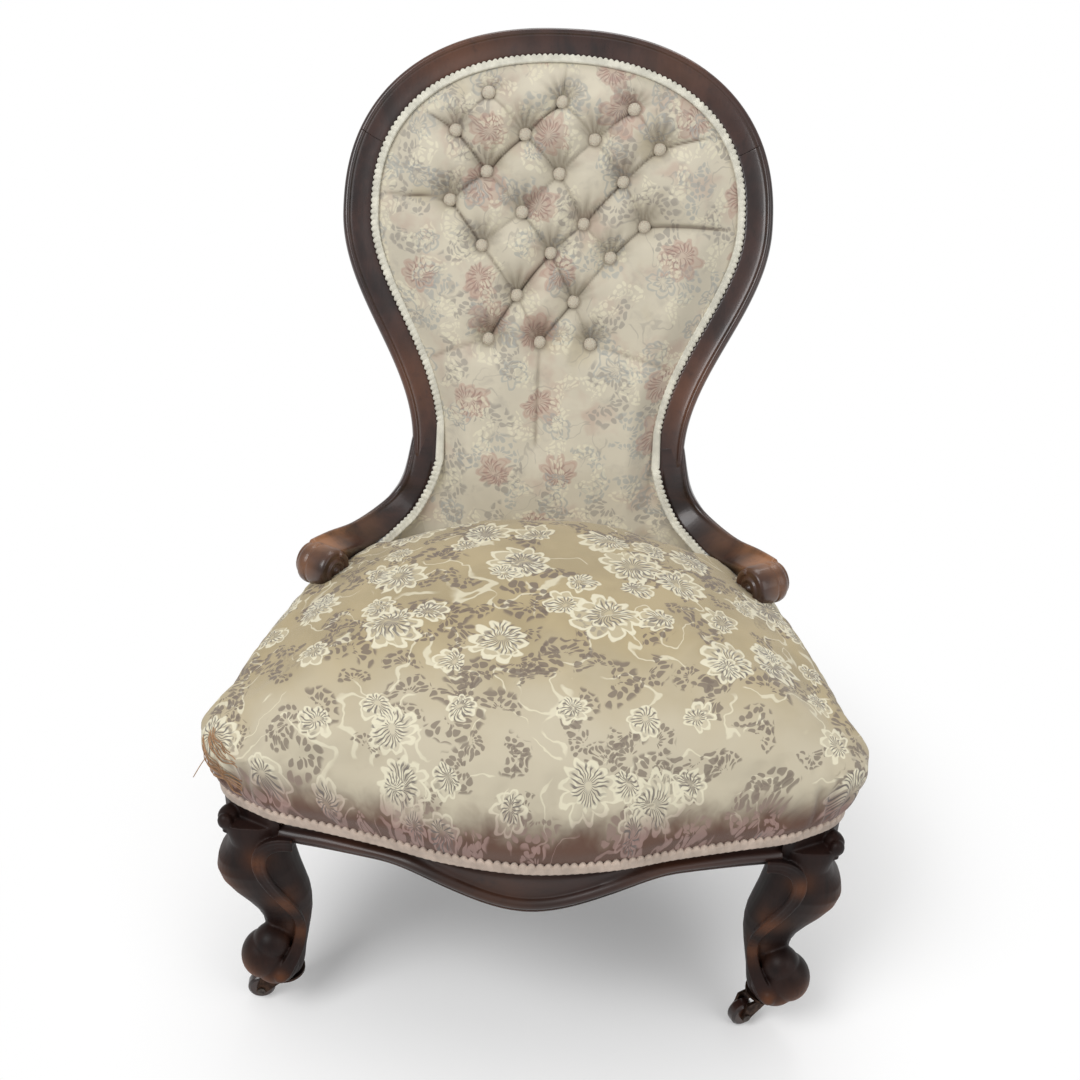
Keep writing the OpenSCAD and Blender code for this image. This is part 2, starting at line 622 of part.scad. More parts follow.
module seat_stuffing() {
    rings = inner_rings;
    n = plan_n;
    last = (len(rings) - 1) * n;
    apex = len(rings) * n;
    points = concat([for (r = rings) each r], [[0, seat_mid_y, crown_z - cover_t]]);
    faces = concat([for (i = [0:len(rings) - 2]) for (j = [0:n - 1])
        let (a = i * n + j, b = i * n + (j + 1) % n) each [[a, a + n, b], [a + n, b + n, b]]],
        [for (j = [1:n - 2]) [0, j, j + 1]], [for (j = [0:n - 1]) [apex, last + (j + 1) % n, last + j]]);
    color(linen) polyhedron(points, faces, convexity = 8);
}

module seat_hessian() {
    color(linen) translate([0, 0, rail_top_z]) linear_extrude(cloth_t)
        polygon([for (i = [0:plan_n - 1]) let (p = wall_point(i, rail_top_z), n = plan_out(i))
            [p.x - soft_gap * n.x, p.y - soft_gap * n.y]]);
}

spring_places_share = [[-0.36, 0.30], [0.36, 0.30], [0, 0.46], [-0.30, 0.66], [0.30, 0.66]];
spring_turns = 4;
spring_rings = 8;
wire_sides = 6;
// Radius of the spring's waist as a share of its greatest
spring_waist_share = 0.72;
spring_low_z = rail_low_z + web_t;
// An hourglass coil of wire with flat ends
module seat_spring() {
    count = spring_turns * spring_rings;
    high = rail_top_z - spring_low_z;
    rings = [for (k = [0:count]) let (t = k / count, a = 360 * k / spring_rings,
            r = (spring_d / 2 - wire_d) * mix(spring_waist_share, 1, abs(cos(180 * t))),
            z = mix(wire_d / 2, high - wire_d / 2, t), mid = [r * cos(a), r * sin(a), z])
        [for (j = [0:wire_sides - 1]) let (b = 360 * (j + 0.5) / wire_sides)
            mid + wire_d / 2 * [cos(b) * cos(a), cos(b) * sin(a), sin(b)]]];
    skin([for (r = rings) turned(r)]);
}

module seat_springs() {
    color(steel) for (s = spring_places_share) translate([s[0] * seat_w / 2, s[1] * seat_d - bow, spring_low_z])
        seat_spring();
}

// Half the free width inside the side rails at a depth share
web_rows_share = [0.30, 0.47, 0.66];
web_columns_share = [-0.33, 0, 0.33];
function inside_x(y) = let (hits = [for (i = [leg_to:side_to]) if (plan[i][1] < y) i],
        i = len(hits) ? min(hits[len(hits) - 1], side_to - 1) : leg_to)
    mix(plan[i][0], plan[i + 1][0], (y - plan[i][1]) / (plan[i + 1][1] - plan[i][1]));
module seat_webbing() {
    front = plan[0][1] + rail_t + bow + bead;
    rear = back_y(rail_low_z) - web_t;
    color(linen) {
        for (s = web_rows_share) let (y = s * seat_d - bow, x = inside_x(y + web_w / 2) - bead)
            translate([-x, y - web_w / 2, rail_low_z - web_t]) cube([2 * x, web_w, web_t]);
        for (s = web_columns_share) translate([s * seat_w / 2 - web_w / 2, front, rail_low_z])
            cube([web_w, rear - front, web_t]);
    }
}

module dust_cover() {
    color("#1c1a19") translate([0, 0, rail_low_z - web_t - cloth_t]) linear_extrude(cloth_t) difference() {
        polygon([for (i = [0:plan_n - 1]) let (p = seat_point(i, -rail_t - bead, rail_low_z - 2 * web_t))
            [p.x, min(p.y, back_y(rail_low_z) - web_t)]]);
        for (m = [0, 1]) mirror([m, 0]) translate([leg_in_x - bead, -seat_d + leg_side_y + bead])
            square([seat_w, seat_d]);
    }
}

module seat_gimp() {
    right = [for (i = [0:side_to]) [for (s = [[0, 0], [1, 0], [1, 1], [0, 1]])
        seat_point(i, s[0] * braid_t + soft_gap / 2, line_z(i) + s[1] * braid_w)]];
    rings = concat([for (i = [side_to:-1:1]) flip_ring(right[i])], right);
    color(braid) skin([for (r = rings) turned(r)]);
}

// Back upholstery

pad_clear = soft_gap;
pad_columns = 24;
pad_rows = crest_steps + side_steps + 2;
// Inner edge of the opening at each row, from the crest's middle down
pad_low_row_z = stay_top_z + soft_gap;
function pad_edge_at(k) = k <= crest_steps + side_steps ? rim_point(k, rim_faces[k] + pad_clear, 0)
    : on_back(waist_w / 2 - waist_face - pad_clear,
        mix(waist_z, pad_low_row_z, (k - crest_steps - side_steps) / 2));
// Buttons: across shares of half the back's width and height shares of the back
button_share = [[-0.34, 0.865], [0, 0.853], [0.33, 0.843],
    [-0.485, 0.790], [-0.165, 0.787], [0.155, 0.781], [0.455, 0.768],
    [-0.335, 0.712], [0, 0.712], [0.295, 0.702],
    [-0.50, 0.654], [-0.165, 0.634], [0.12, 0.616], [0.40, 0.616],
    [-0.345, 0.566], [-0.025, 0.557], [0.25, 0.551],
    [-0.175, 0.470], [0.09, 0.461],
    [-0.30, 0.380], [-0.06, 0.377], [0.175, 0.377]];
function button_point(s) = [s[0] * back_w / 2, mix(seat_top_z, chair_h, s[1])];
buttons = [for (s = button_share) button_point(s)];
tuft_share = 0.0475;
tuft_r = tuft_share * back_w;
// How near the padding's edge a place is, from 0 in the middle to 1 at the edge
function near_edge(x, z) = let (a = back_w / 2 - stile_face, b = crest_rise - crest_face)
    z > widest_z ? pow(pow(abs(x) / a, round_power) + pow((z - widest_z) / b, round_power), 1 / round_power)
    : let (s = min(1, (widest_z - z) / (widest_z - waist_z)),
        w = mix(waist_w / 2 - waist_face, a, (1 + cos(180 * s)) / 2)) abs(x) / w;
// Depth of the nearest tuft, from 0 to 1
function tuft(x, z) = let (d = min([for (b = buttons) norm([x - b[0], z - b[1]])]) / tuft_r) exp(-d * d);
function rise_to(t) = let (c = max(0, min(1, t))) c * c * (3 - 2 * c);
// The padding is flat at its edge and full from these shares of the way in and up
flat_share = 0.9;
full_share = 0.6;
full_up_share = 0.13;
function fullness(x, z) = rise_to((flat_share - near_edge(x, z)) / (flat_share - full_share))
    * rise_to((z - seat_top_z) / (back_rise * full_up_share));
function pad_out(x, z) = let (full = fullness(x, z))
    (edge_depth + back_swell) * full - edge_depth - soft_gap - tuft_depth * tuft(x, z) * full;

module back_pad() {
    n = pad_columns + 1;
    m = pad_rows;
    edges = [for (k = [1:m]) pad_edge_at(k)];
    front = [for (e = edges) [for (j = [0:pad_columns]) let (x = e.x * (2 * j / pad_columns - 1))
        on_back(x, e.z, pad_out(x, e.z))]];
    rear = [for (e = edges) [on_back(-e.x, e.z, -back_pad_t), on_back(e.x, e.z, -back_pad_t)]];
    top = rim_point(0, crest_face + pad_clear, -edge_depth - soft_gap);
    top_rear = rim_point(0, crest_face + pad_clear, -back_pad_t);
    points = concat([for (r = front) each r], [for (r = rear) each r], [top, top_rear]);
    r0 = m * n;
    t = m * n + 2 * m;
    faces = concat(
        [for (i = [0:m - 2]) for (j = [0:n - 2]) let (a = i * n + j)
            each [[a, a + 1, a + n + 1], [a, a + n + 1, a + n]]],
        [for (i = [0:m - 2]) let (a = r0 + 2 * i) each [[a + 1, a, a + 2], [a + 1, a + 2, a + 3]]],
        [for (i = [0:m - 2]) let (a = i * n, b = r0 + 2 * i) each [[a, a + n, b + 2], [a, b + 2, b]]],
        [for (i = [0:m - 2]) let (a = i * n + n - 1, b = r0 + 2 * i + 1)
            each [[a + n, a, b], [a + n, b, b + 2]]],
        [for (j = [0:n - 2]) [t, j + 1, j]],
        [[t, 0, r0], [t, r0, t + 1], [t + 1, r0, r0 + 1], [t, t + 1, r0 + 1], [t, r0 + 1, n - 1]],
        let (a = (m - 1) * n, b = r0 + 2 * (m - 1))
            concat([for (j = [0:n - 2]) [a + j, a + j + 1, b]], [[a + n - 1, b + 1, b]]));
    polyhedron(points, faces, convexity = 8);
}

module at_buttons() {
    for (b = buttons) translate(on_back(b[0], b[1], pad_out(b[0], b[1]))) aim(back_normal(b[1])) children();
}

module back_cushion() {
    color(cloth) difference() {
        back_pad();
        at_buttons() translate([0, 0, -button_h / 2])
            cylinder(h = tuft_depth + back_swell, d = button_d + 2 * soft_gap);
    }
}

// A button's profile: shares of its radius and of its height
button_profile_share = [[0, 0], [0.8, 0], [1, 0.35], [0.86, 0.7], [0.5, 0.94], [0, 1]];
module back_buttons() {
    color(cloth) at_buttons() translate([0, 0, -button_h / 2 + soft_gap]) rotate_extrude()
        polygon([for (s = button_profile_share) [s[0] * button_d / 2, s[1] * button_h]]);
}

module back_gimp() {
    last = crest_steps + side_steps;
    section = [[0, 0], [1, 0], [1, 1], [0, 1]];
    right = [for (k = [0:last]) [for (s = section)
        rim_point(k, rim_faces[k] + pad_clear + s[0] * braid_w, soft_gap - edge_depth + s[1] * braid_t)]];
    color(braid) skin([for (r = concat([for (k = [last:-1:1]) flip_ring(right[k])], right)) turned(r)]);
}

web_z_share = [0.16, 0.36, 0.56, 0.74];
module back_webbing() {
    color(linen) for (s = web_z_share) {
        z = mix(seat_top_z, chair_h, s);
        x = min(free_x(z - web_w / 2), free_x(z + web_w / 2));
        near = -back_pad_t - 2 * soft_gap;
        ring = [[z - web_w / 2, near - web_t], [z + web_w / 2, near - web_t], [z + web_w / 2, near],
            [z - web_w / 2, near]];
        skin([[for (p = ring) on_back(-x, p[0], p[1])], [for (p = ring) on_back(x, p[0], p[1])]]);
    }
}
// Half the opening's width at a height
function free_x(z) =
    let (rows = [for (k = [crest_steps + side_steps:-1:1]) let (e = pad_edge_at(k)) [e.z, e.x]])
    (z < rows[0][0] ? rows[0][1] : row_at(rows, z)[1]) - soft_gap;

// The cloth over the rear of the back, lapped on the frame by a margin
lap = 9;
module outside_back() {
    edges = concat([for (k = [0:crest_steps + side_steps]) rim_point(k, rim_faces[k] - lap, 0)],
        [for (z = [stay_top_z - stay_h, post_foot_z]) on_back(waist_w / 2 - waist_face + lap, z)]);
    rings = [for (e = edges) let (x = max(e.x, lap)) [on_back(-x, e.z, -frame_t - soft_gap),
        on_back(x, e.z, -frame_t - soft_gap), on_back(x, e.z, -frame_t - soft_gap - cloth_t),
        on_back(-x, e.z, -frame_t - soft_gap - cloth_t)]];
    color(cloth) skin([for (r = rings) turned(r)]);
}

// The part stands on the floor with the middle of its box over the origin
front_y = min([for (r = [for (s = side_shape_share) side_ring(s)]) for (p = r) p.y]);
rear_most_y = max([for (p = rim_rings[0]) p.y]);
module placed() {
    translate([0, -(front_y + rear_most_y) / 2, 0]) children();
}
module left() {
    placed() mirror([1, 0, 0]) children();
}

placed() crest_rail();
left() stile();  // stile_left
placed() stile();  // stile_right
placed() stay_rail();
left() scroll_arm();  // scroll_arm_left
placed() scroll_arm();  // scroll_arm_right
placed() front_rail();
left() side_rail();  // side_rail_left
placed() side_rail();  // side_rail_right
placed() rear_rail();
placed() frame_dowels();
left() front_leg();  // front_leg_left
placed() front_leg();  // front_leg_right
left() rear_leg();  // rear_leg_left
placed() rear_leg();  // rear_leg_right
placed() seat_webbing();
placed() seat_springs();
placed() seat_hessian();
placed() seat_stuffing();
placed() seat_cover();
placed() seat_gimp();
placed() dust_cover();
placed() back_webbing();
placed() back_cushion();
placed() back_buttons();
placed() back_gimp();
placed() outside_back();
placed() castor_plate(0);  // castor_plate_front_left
placed() castor_plate(1);  // castor_plate_front_right
placed() castor_plate(2);  // castor_plate_rear_left
placed() castor_plate(3);  // castor_plate_rear_right
placed() castor_fork(0);  // castor_fork_front_left
placed() castor_fork(1);  // castor_fork_front_right
placed() castor_fork(2);  // castor_fork_rear_left
placed() castor_fork(3);  // castor_fork_rear_right
placed() castor_axle(0);  // castor_axle_front_left
placed() castor_axle(1);  // castor_axle_front_right
placed() castor_axle(2);  // castor_axle_rear_left
placed() castor_axle(3);  // castor_axle_rear_right
placed() castor_wheel(0);  // castor_wheel_front_left
placed() castor_wheel(1);  // castor_wheel_front_right
placed() castor_wheel(2);  // castor_wheel_rear_left
placed() castor_wheel(3);  // castor_wheel_rear_right
placed() castor_screws();
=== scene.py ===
import bpy, random
from math import sin, cos, tan, pi, radians, atan2, hypot, exp
from mathutils import Vector, Matrix, noise


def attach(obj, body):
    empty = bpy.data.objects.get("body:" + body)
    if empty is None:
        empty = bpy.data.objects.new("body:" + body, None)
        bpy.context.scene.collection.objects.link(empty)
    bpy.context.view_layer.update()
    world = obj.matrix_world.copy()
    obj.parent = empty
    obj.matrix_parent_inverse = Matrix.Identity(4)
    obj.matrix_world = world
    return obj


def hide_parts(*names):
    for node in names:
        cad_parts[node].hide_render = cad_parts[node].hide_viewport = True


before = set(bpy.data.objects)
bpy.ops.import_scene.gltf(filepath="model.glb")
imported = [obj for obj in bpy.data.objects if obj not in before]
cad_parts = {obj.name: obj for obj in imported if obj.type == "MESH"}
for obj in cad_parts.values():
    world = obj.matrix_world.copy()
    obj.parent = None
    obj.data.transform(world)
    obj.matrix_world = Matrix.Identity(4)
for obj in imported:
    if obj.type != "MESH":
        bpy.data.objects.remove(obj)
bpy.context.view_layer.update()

scene = bpy.context.scene
print("frame loaded")

# Chief sizes of the chair in metres, as the frame has them
chair = {
    "middleY": 0.309519,      # middle of the chair, counted from the front rail
    "railZ": 0.250, "railShow": 0.020, "cornerRise": 0.010, "railTop": 0.285,
    "seatWidth": 0.604, "seatDepth": 0.432, "bow": 0.020,
    "blockWidth": 0.062, "legSideY": 0.082,
    "seatTopZ": 0.380, "backRise": 0.520, "backFaceY": 0.412,
    "leanLow": 20, "leanTop": 26,
    "backWidth": 0.493, "waistWidth": 0.317, "widestShare": 0.627, "waistShare": 0.16,
    "roundPower": 2.3, "postFootZ": 0.232, "frameDepth": 0.028,
    "crestFace": 0.027, "stileFace": 0.033, "waistFace": 0.030, "edgeDepth": 0.00588,
}
middleY, railZ, seatTopZ, backRise = (chair[key] for key in ("middleY", "railZ", "seatTopZ", "backRise"))
frameDepth, edgeDepth, waistFace = (chair[key] for key in ("frameDepth", "edgeDepth", "waistFace"))
postFootZ, roundPower = chair["postFootZ"], chair["roundPower"]
widestZ = seatTopZ + backRise * chair["widestShare"]
waistZ = seatTopZ + backRise * chair["waistShare"]
crestRise = seatTopZ + backRise - widestZ
halfBack, halfWaist = chair["backWidth"] / 2, chair["waistWidth"] / 2
slopeLow, slopeTop = tan(radians(chair["leanLow"])), tan(radians(chair["leanTop"]))


def mix(a, b, t):
    return a + (b - a) * t


def ease(t):
    t = max(0.0, min(1.0, t))
    return t * t * (3 - 2 * t)


def backY(z):
    rise = z - seatTopZ
    return chair["backFaceY"] - middleY + rise * (slopeLow + (slopeTop - slopeLow) * rise / backRise / 2)


def backNormal(z):
    return Vector((0, -1, slopeLow + (slopeTop - slopeLow) * (z - seatTopZ) / backRise)).normalized()


def onBack(x, z, out=0.0):
    return Vector((x, backY(z), z)) + backNormal(z) * out


def outline(s):
    # 0 is the middle of the crest, 1 the widest place, 2 the waist and 3 the foot of the post
    if s <= 1:
        a, power = pi / 2 * max(s, 0), 2 / roundPower
        return Vector((halfBack * sin(a) ** power, widestZ + crestRise * max(cos(a), 0) ** power))
    if s <= 2:
        return Vector((mix(halfWaist, halfBack, (1 + cos(pi * (s - 1))) / 2), mix(widestZ, waistZ, s - 1)))
    return Vector((halfWaist, mix(waistZ, postFootZ, s - 2)))


def faceWidth(s):
    if s <= 1:
        return mix(chair["crestFace"], chair["stileFace"], max(s, 0))
    return mix(chair["stileFace"], waistFace, min(1, s - 1))


def rimPoint(s, inset, out):
    # a point of the outline, moved in from the edge and out of the face; a negative s is on the left
    side, s, step = -1 if s < 0 else 1, abs(s), 0.02
    way = Vector((1, 0)) if s < 1e-6 else (outline(s + step) - outline(max(s - step, 0))).normalized()
    if s >= 2:
        way = Vector((0, -1))
    p = outline(s) + Vector((way.y, -way.x)) * inset
    return onBack(side * max(p.x, 0), p.y, out)


# Lines and rings
def spline(p, q, r, s, t):
    # a smooth curve's point between q and r
    return (2 * q + (r - p) * t + (2 * p - 5 * q + 4 * r - s) * t * t + (3 * q - p - 3 * r + s) * t * t * t) / 2


def curveThrough(points, steps):
    points = [Vector(p) for p in points]
    ends = [points[0]] + points + [points[-1]]
    out = [spline(*ends[i:i + 4], k / steps) for i in range(len(points) - 1) for k in range(steps)]
    return out + [points[-1]]


def runs(points):
    # how far each point lies along its line
    out = [0.0]
    for a, b in zip(points, points[1:]):
        out.append(out[-1] + (b - a).length)
    return out


def wayAt(points, k, reach=1):
    return (points[min(k + reach, len(points) - 1)] - points[max(k - reach, 0)]).normalized()


def tubeRings(points, radii, sides=10):
    rings, side = [], None
    for i, (p, r) in enumerate(zip(points, radii)):
        way = wayAt(points, i)
        if side is None:
            side = way.orthogonal().normalized()
        side = (side - way * side.dot(way)).normalized()
        up = way.cross(side)
        turns = [2 * pi * k / sides for k in range(sides)]
        rings.append([p + (side * cos(a) + up * sin(a)) * r for a in turns])
    return rings


def squareRound(count, power):
    # points of a unit circle, pushed out towards a square by a power under 1
    turns = [2 * pi * k / count for k in range(count)]
    return [[(1 if v > 0 else -1) * abs(v) ** power for v in (cos(a), sin(a))] for a in turns]


# Tools of the bench: each leaves a mesh object at the origin
def only(*pieces):
    bpy.ops.object.select_all(action="DESELECT")
    for piece in pieces:
        piece.select_set(True)
    bpy.context.view_layer.objects.active = pieces[0]


def named(piece, name):
    piece.name = piece.data.name = name
    return piece


def editAll(piece, *steps):
    # mesh operators, each with all of the piece selected, and then its faces turned outwards
    only(piece)
    bpy.ops.object.mode_set(mode="EDIT")
    bpy.ops.mesh.select_mode(type="VERT")
    for step in steps:
        bpy.ops.mesh.select_all(action="SELECT")
        step()
    bpy.ops.mesh.select_all(action="SELECT")
    bpy.ops.mesh.normals_make_consistent(inside=False)
    bpy.ops.object.mode_set(mode="OBJECT")
    return piece


def mergeClose():
    bpy.ops.mesh.remove_doubles(threshold=1e-6)


def closeEnds():
    bpy.ops.mesh.select_all(action="DESELECT")
    bpy.ops.mesh.select_non_manifold()
    bpy.ops.mesh.fill_holes(sides=0)


def mark(piece, name, values):
    # a number for each point, which a material reads
    piece.data.attributes.new(name, "FLOAT", "POINT").data.foreach_set("value", values)


def loft(name, rings, closed=True, ends=True, shades=None):
    # a grid wrapped round a row of rings; its UVs run along and round in metres
    rows = [[Vector(p) for p in ring] + ([Vector(ring[0])] if closed else []) for ring in rings]
    across, along = len(rows[0]), len(rows)
    bpy.ops.object.select_all(action="DESELECT")
    bpy.ops.mesh.primitive_grid_add(x_subdivisions=across - 1, y_subdivisions=along - 1, size=1, calc_uvs=True)
    piece = named(bpy.context.object, name)
    piece.data.vertices.foreach_set("co", [c for row in rows for p in row for c in p])
    length, rounds = runs([sum(row, Vector()) / across for row in rows]), runs(rows[along // 2])
    layer = piece.data.uv_layers[0]
    layer.name = "clothUv"
    for loop in piece.data.loops:
        i = loop.vertex_index
        layer.data[loop.index].uv = (length[i // across], rounds[i % across])
    piece.location = (0, 0, 0)
    if shades:
        # the shades are painted shade for each point, by which the material darkens the cloth
        mark(piece, "paintedPadShade", shades)
    editAll(piece, mergeClose, *([closeEnds] if ends else []))
    bpy.ops.object.shade_smooth()
    return piece


def useModifier(piece, kind, **settings):
    only(piece)
    modifier = piece.modifiers.new(kind.title(), kind)
    for key, value in settings.items():
        setattr(modifier, key, value)
    bpy.ops.object.modifier_apply(modifier=modifier.name)
    return piece


def subdivide(piece):
    return useModifier(piece, "SUBSURF", levels=1, render_levels=1)


def bevelled(piece, width, segments, angle):
    limit = {"limit_method": "ANGLE", "angle_limit": radians(angle)}
    return useModifier(piece, "BEVEL", width=width, segments=segments, **limit)


def join(name, parts):
    only(*parts)
    if len(parts) > 1:
        bpy.ops.object.join()
    return named(bpy.context.view_layer.objects.active, name)


def mirrored(piece, name):
    only(piece)
    bpy.ops.object.duplicate()
    copy = named(bpy.context.object, name)
    copy.data.transform(Matrix.Scale(-1, 4, (1, 0, 0)))
    return editAll(copy)


def carved(name, parts, voxel):
    # joins rough parts and works them into one carved surface
    piece = join(name, parts)
    useModifier(piece, "REMESH", mode="VOXEL", voxel_size=voxel, use_smooth_shade=True)
    useModifier(piece, "SMOOTH", factor=0.5, iterations=2)
    only(piece)
    bpy.ops.object.shade_smooth()
    return piece


def ballPart(name, centre, radii, turn=0):
    bpy.ops.object.select_all(action="DESELECT")
    bpy.ops.mesh.primitive_uv_sphere_add(segments=32, ring_count=20, radius=1)
    piece = bpy.context.object
    piece.name = name
    turned = Matrix.Translation(centre) @ Matrix.Rotation(turn, 4, "Z")
    piece.data.transform(turned @ Matrix.Diagonal((*radii, 1)))
    return piece


def rub(piece, spots):
    # marks the places that hands and feet have rubbed: middle, reach and strength
    mark(piece, "rubbed", [max([0.0] + [strength * exp(-((v.co - middle).length / reach) ** 2)
                                        for middle, reach, strength in spots]) for v in piece.data.vertices])


def dress(piece, material, body="chair", replaced=()):
    piece.data.materials.clear()
    piece.data.materials.append(material)
    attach(piece, body)
    if replaced:
        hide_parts(*replaced)
    return piece


def dressPair(right, name, node, material, spots, y, z):
    # makes the left piece from the right one, then rubs and dresses both
    for side, piece, word in ((1, right, "right"), (-1, mirrored(right, name + "Left"), "left")):
        rub(piece, [(Vector((side * across, y + back, z + up)), reach, strength)
                    for across, back, up, reach, strength in spots])
        dress(piece, material, "chair", [node + "_" + word])


# Small helpers for the materials
class Wire:
    # an output of a material's node; sums, differences and products of wires become Math nodes
    def __init__(self, tree, node, output=0):
        self.tree, self.node, self.socket = tree, node, node.outputs[output]

    def __getitem__(self, output):
        return Wire(self.tree, self.node, output)

    def fade(self, low, high):
        # 0 below low and 1 above high, smooth between
        return newNode(self.tree, "MapRange", {"Value": self, "From Min": low, "From Max": high}, "Result",
                       interpolation_type="SMOOTHSTEP")


def setInputs(node, values):
    for key, value in (values.items() if isinstance(values, dict) else enumerate(values)):
        if isinstance(value, Wire):
            value.tree.links.new(value.socket, node.inputs[key])
        else:
            node.inputs[key].default_value = value


def newNode(tree, kind, inputs=(), output=0, **settings):
    node = tree.nodes.new("ShaderNode" + kind)
    for key, value in settings.items():
        setattr(node, key, value)
    setInputs(node, inputs)
    return Wire(tree, node, output)


def calc(operation, *values, kind="Math"):
    tree = next(value.tree for value in values if isinstance(value, Wire))
    return newNode(tree, kind, values, operation=operation)


def vectorCalc(operation, *values):
    return calc(operation, *values, kind="VectorMath")


for sign, word in (("add", "ADD"), ("sub", "SUBTRACT"), ("mul", "MULTIPLY")):
    setattr(Wire, f"__{sign}__", lambda a, b, operation=word: calc(operation, a, b))
    setattr(Wire, f"__r{sign}__", lambda a, b, operation=word: calc(operation, b, a))


def newMaterial(name):
    material = bpy.data.materials.new(name)
    material.use_nodes = True
    tree = material.node_tree
    return material, tree, tree.nodes["Principled BSDF"]


def blend(amount, a, b):
    a, b = (tint if isinstance(tint, Wire) else (*tint, 1) for tint in (a, b))
    return newNode(amount.tree, "Mix", {0: amount, 6: a, 7: b}, 2, data_type="RGBA")


def mottled(cloud, tint, dark, low=0.35, high=0.7):
    return blend(cloud.fade(low, high), [c * dark for c in tint], tint)


def noiseOf(where, scale, detail=3.0, roughness=0.5, distortion=0.0):
    inputs = {"Vector": where, "Scale": scale, "Detail": detail,
              "Roughness": roughness, "Distortion": distortion}
    return newNode(where.tree, "TexNoise", inputs, "Fac")


def placed(tree, kind="Object", **moves):
    # coordinates, with a location, rotation or scale
    inputs = {key.title(): value for key, value in moves.items()}
    return newNode(tree, "Mapping", {"Vector": newNode(tree, "TexCoord", (), kind), **inputs})


def bump(shader, height, strength, distance):
    inputs = {"Height": height, "Strength": strength, "Distance": distance}
    setInputs(shader, {"Normal": newNode(height.tree, "Bump", inputs)})


# Polished mahogany, rubbed to orange brown where hands and feet touch it
woodLooks = {
    "dark": (0.016, 0.0075, 0.0065), "mid": (0.040, 0.0165, 0.0125), "red": (0.058, 0.022, 0.015),
    "rubbed": (0.24, 0.085, 0.032), "handled": (0.32, 0.14, 0.058),
    "roughness": 0.26, "coat": 0.3, "coatRoughness": 0.12,
}


def woodMaterial(name, stretch, shade=1.0, rubbing=True, dull=0.0, bare="rubbed"):
    material, tree, shader = newMaterial(name)
    where, still = placed(tree, scale=stretch), placed(tree)
    fine, broad = noiseOf(where, 6.0, 4, 0.6, 0.2), noiseOf(still, 22.0, 3, 0.55)
    dark, mid, red = ([c * shade for c in woodLooks[key]] for key in ("dark", "mid", "red"))
    colour = blend(noiseOf(where, 1.0, 5, 0.55, 0.6).fade(0.36, 0.66), dark, mid)
    colour = blend(broad.fade(0.42, 0.7) * 0.5, colour, red)
    colour = blend(fine.fade(0.52, 0.75) * 0.4, colour, [c * 0.5 for c in dark])
    wear = newNode(tree, "NewGeometry", (), "Pointiness")
    edges = wear.fade(0.53, 0.64) * noiseOf(still, 38.0).fade(0.3, 0.62) * 0.4
    if rubbing:
        rubbed = newNode(tree, "Attribute", (), "Fac", attribute_name="rubbed")
        edges = calc("MAXIMUM", edges, rubbed * noiseOf(still, 55.0, 4, 0.6).fade(0.15, 0.50))
    rough = noiseOf(still, 26.0, 3) * 0.22 + (woodLooks["roughness"] + dull - 0.06)
    setInputs(shader, {
        "Base Color": blend(edges, colour, woodLooks[bare]), "Roughness": edges * 0.1 + rough,
        "Coat Weight": woodLooks["coat"] * (1 - 5 * dull), "Coat Roughness": woodLooks["coatRoughness"],
        "Specular IOR Level": 0.5 - 1.6 * dull,
    })
    bump(shader, fine + noiseOf(still, 120.0) * 0.5, 0.14, 0.0006)
    return material


uprightWood = woodMaterial("uprightWood", (42, 42, 7))
levelWood = woodMaterial("levelWood", (7, 42, 42), 0.85, True, 0.02, "handled")
railWood = woodMaterial("railWood", (7, 42, 42), 0.65, True, 0.08)
legWood = woodMaterial("legWood", (38, 38, 9), 0.45, True, 0.19)
plainWood = woodMaterial("plainWood", (7, 30, 30), 0.8, False)

# The figured cloth: outlined flowers, clusters of leaves and thin stems on a worn ground
clothLooks = {
    "backGround": (0.64, 0.585, 0.465), "backGrey": (0.33, 0.30, 0.26), "backPink": (0.45, 0.29, 0.235),
    "backBlue": (0.36, 0.37, 0.35), "backInk": (0.24, 0.15, 0.135), "gold": (0.43, 0.34, 0.17),
    "shadow": (0.10, 0.065, 0.042), "seatGround": (0.46, 0.37, 0.215), "seatWorn": (0.57, 0.51, 0.385),
    "cream": (0.76, 0.71, 0.54), "leaf": (0.165, 0.125, 0.10), "leafWorn": (0.225, 0.185, 0.145),
    # the two colours after ink are the painted shade low on the seat's front roll, for its ground and for the
    # figures in it
    "ink": (0.15, 0.13, 0.12), "dusk": (0.135, 0.072, 0.05), "duskPink": (0.36, 0.235, 0.205),
    "sheen": 0.25, "roughness": 0.82, "threads": 420,
}


def wandering(where, scale, amount):
    # the cloth's place pushed about a little, so that no two figures are alike
    centred = vectorCalc("SUBTRACT", noiseOf(where, scale, 2)["Color"], (0.5, 0.5, 0.5))
    return vectorCalc("ADD", where, vectorCalc("MULTIPLY", centred, (amount, amount, 0)))


def cells(tree, vector, jitter):
    inputs = {"Vector": vector, "Scale": 1.0, "Randomness": jitter}
    return newNode(tree, "TexVoronoi", inputs, "Distance", voronoi_dimensions="2D", feature="F1")


def localPlace(where, scale, jitter, offset):
    # cells over the cloth: the reach and the angle from each one's middle, and its random numbers
    vector = vectorCalc("ADD", vectorCalc("MULTIPLY", where, (scale, scale, 0)), offset)
    cell = cells(where.tree, vector, jitter)
    parts = newNode(where.tree, "SeparateXYZ", [vectorCalc("SUBTRACT", vector, cell["Position"])])
    dice = newNode(where.tree, "SeparateColor", [cell["Color"]])
    x, y = parts[0], parts[1]
    return calc("SQRT", x * x + y * y), calc("ARCTAN2", y, x) + dice[0] * 6.28, dice


def ringOf(reach, edge, width):
    # a line where the reach meets the edge
    return 1.0 - calc("ABSOLUTE", reach - edge).fade(width * 0.6, width * 1.3)


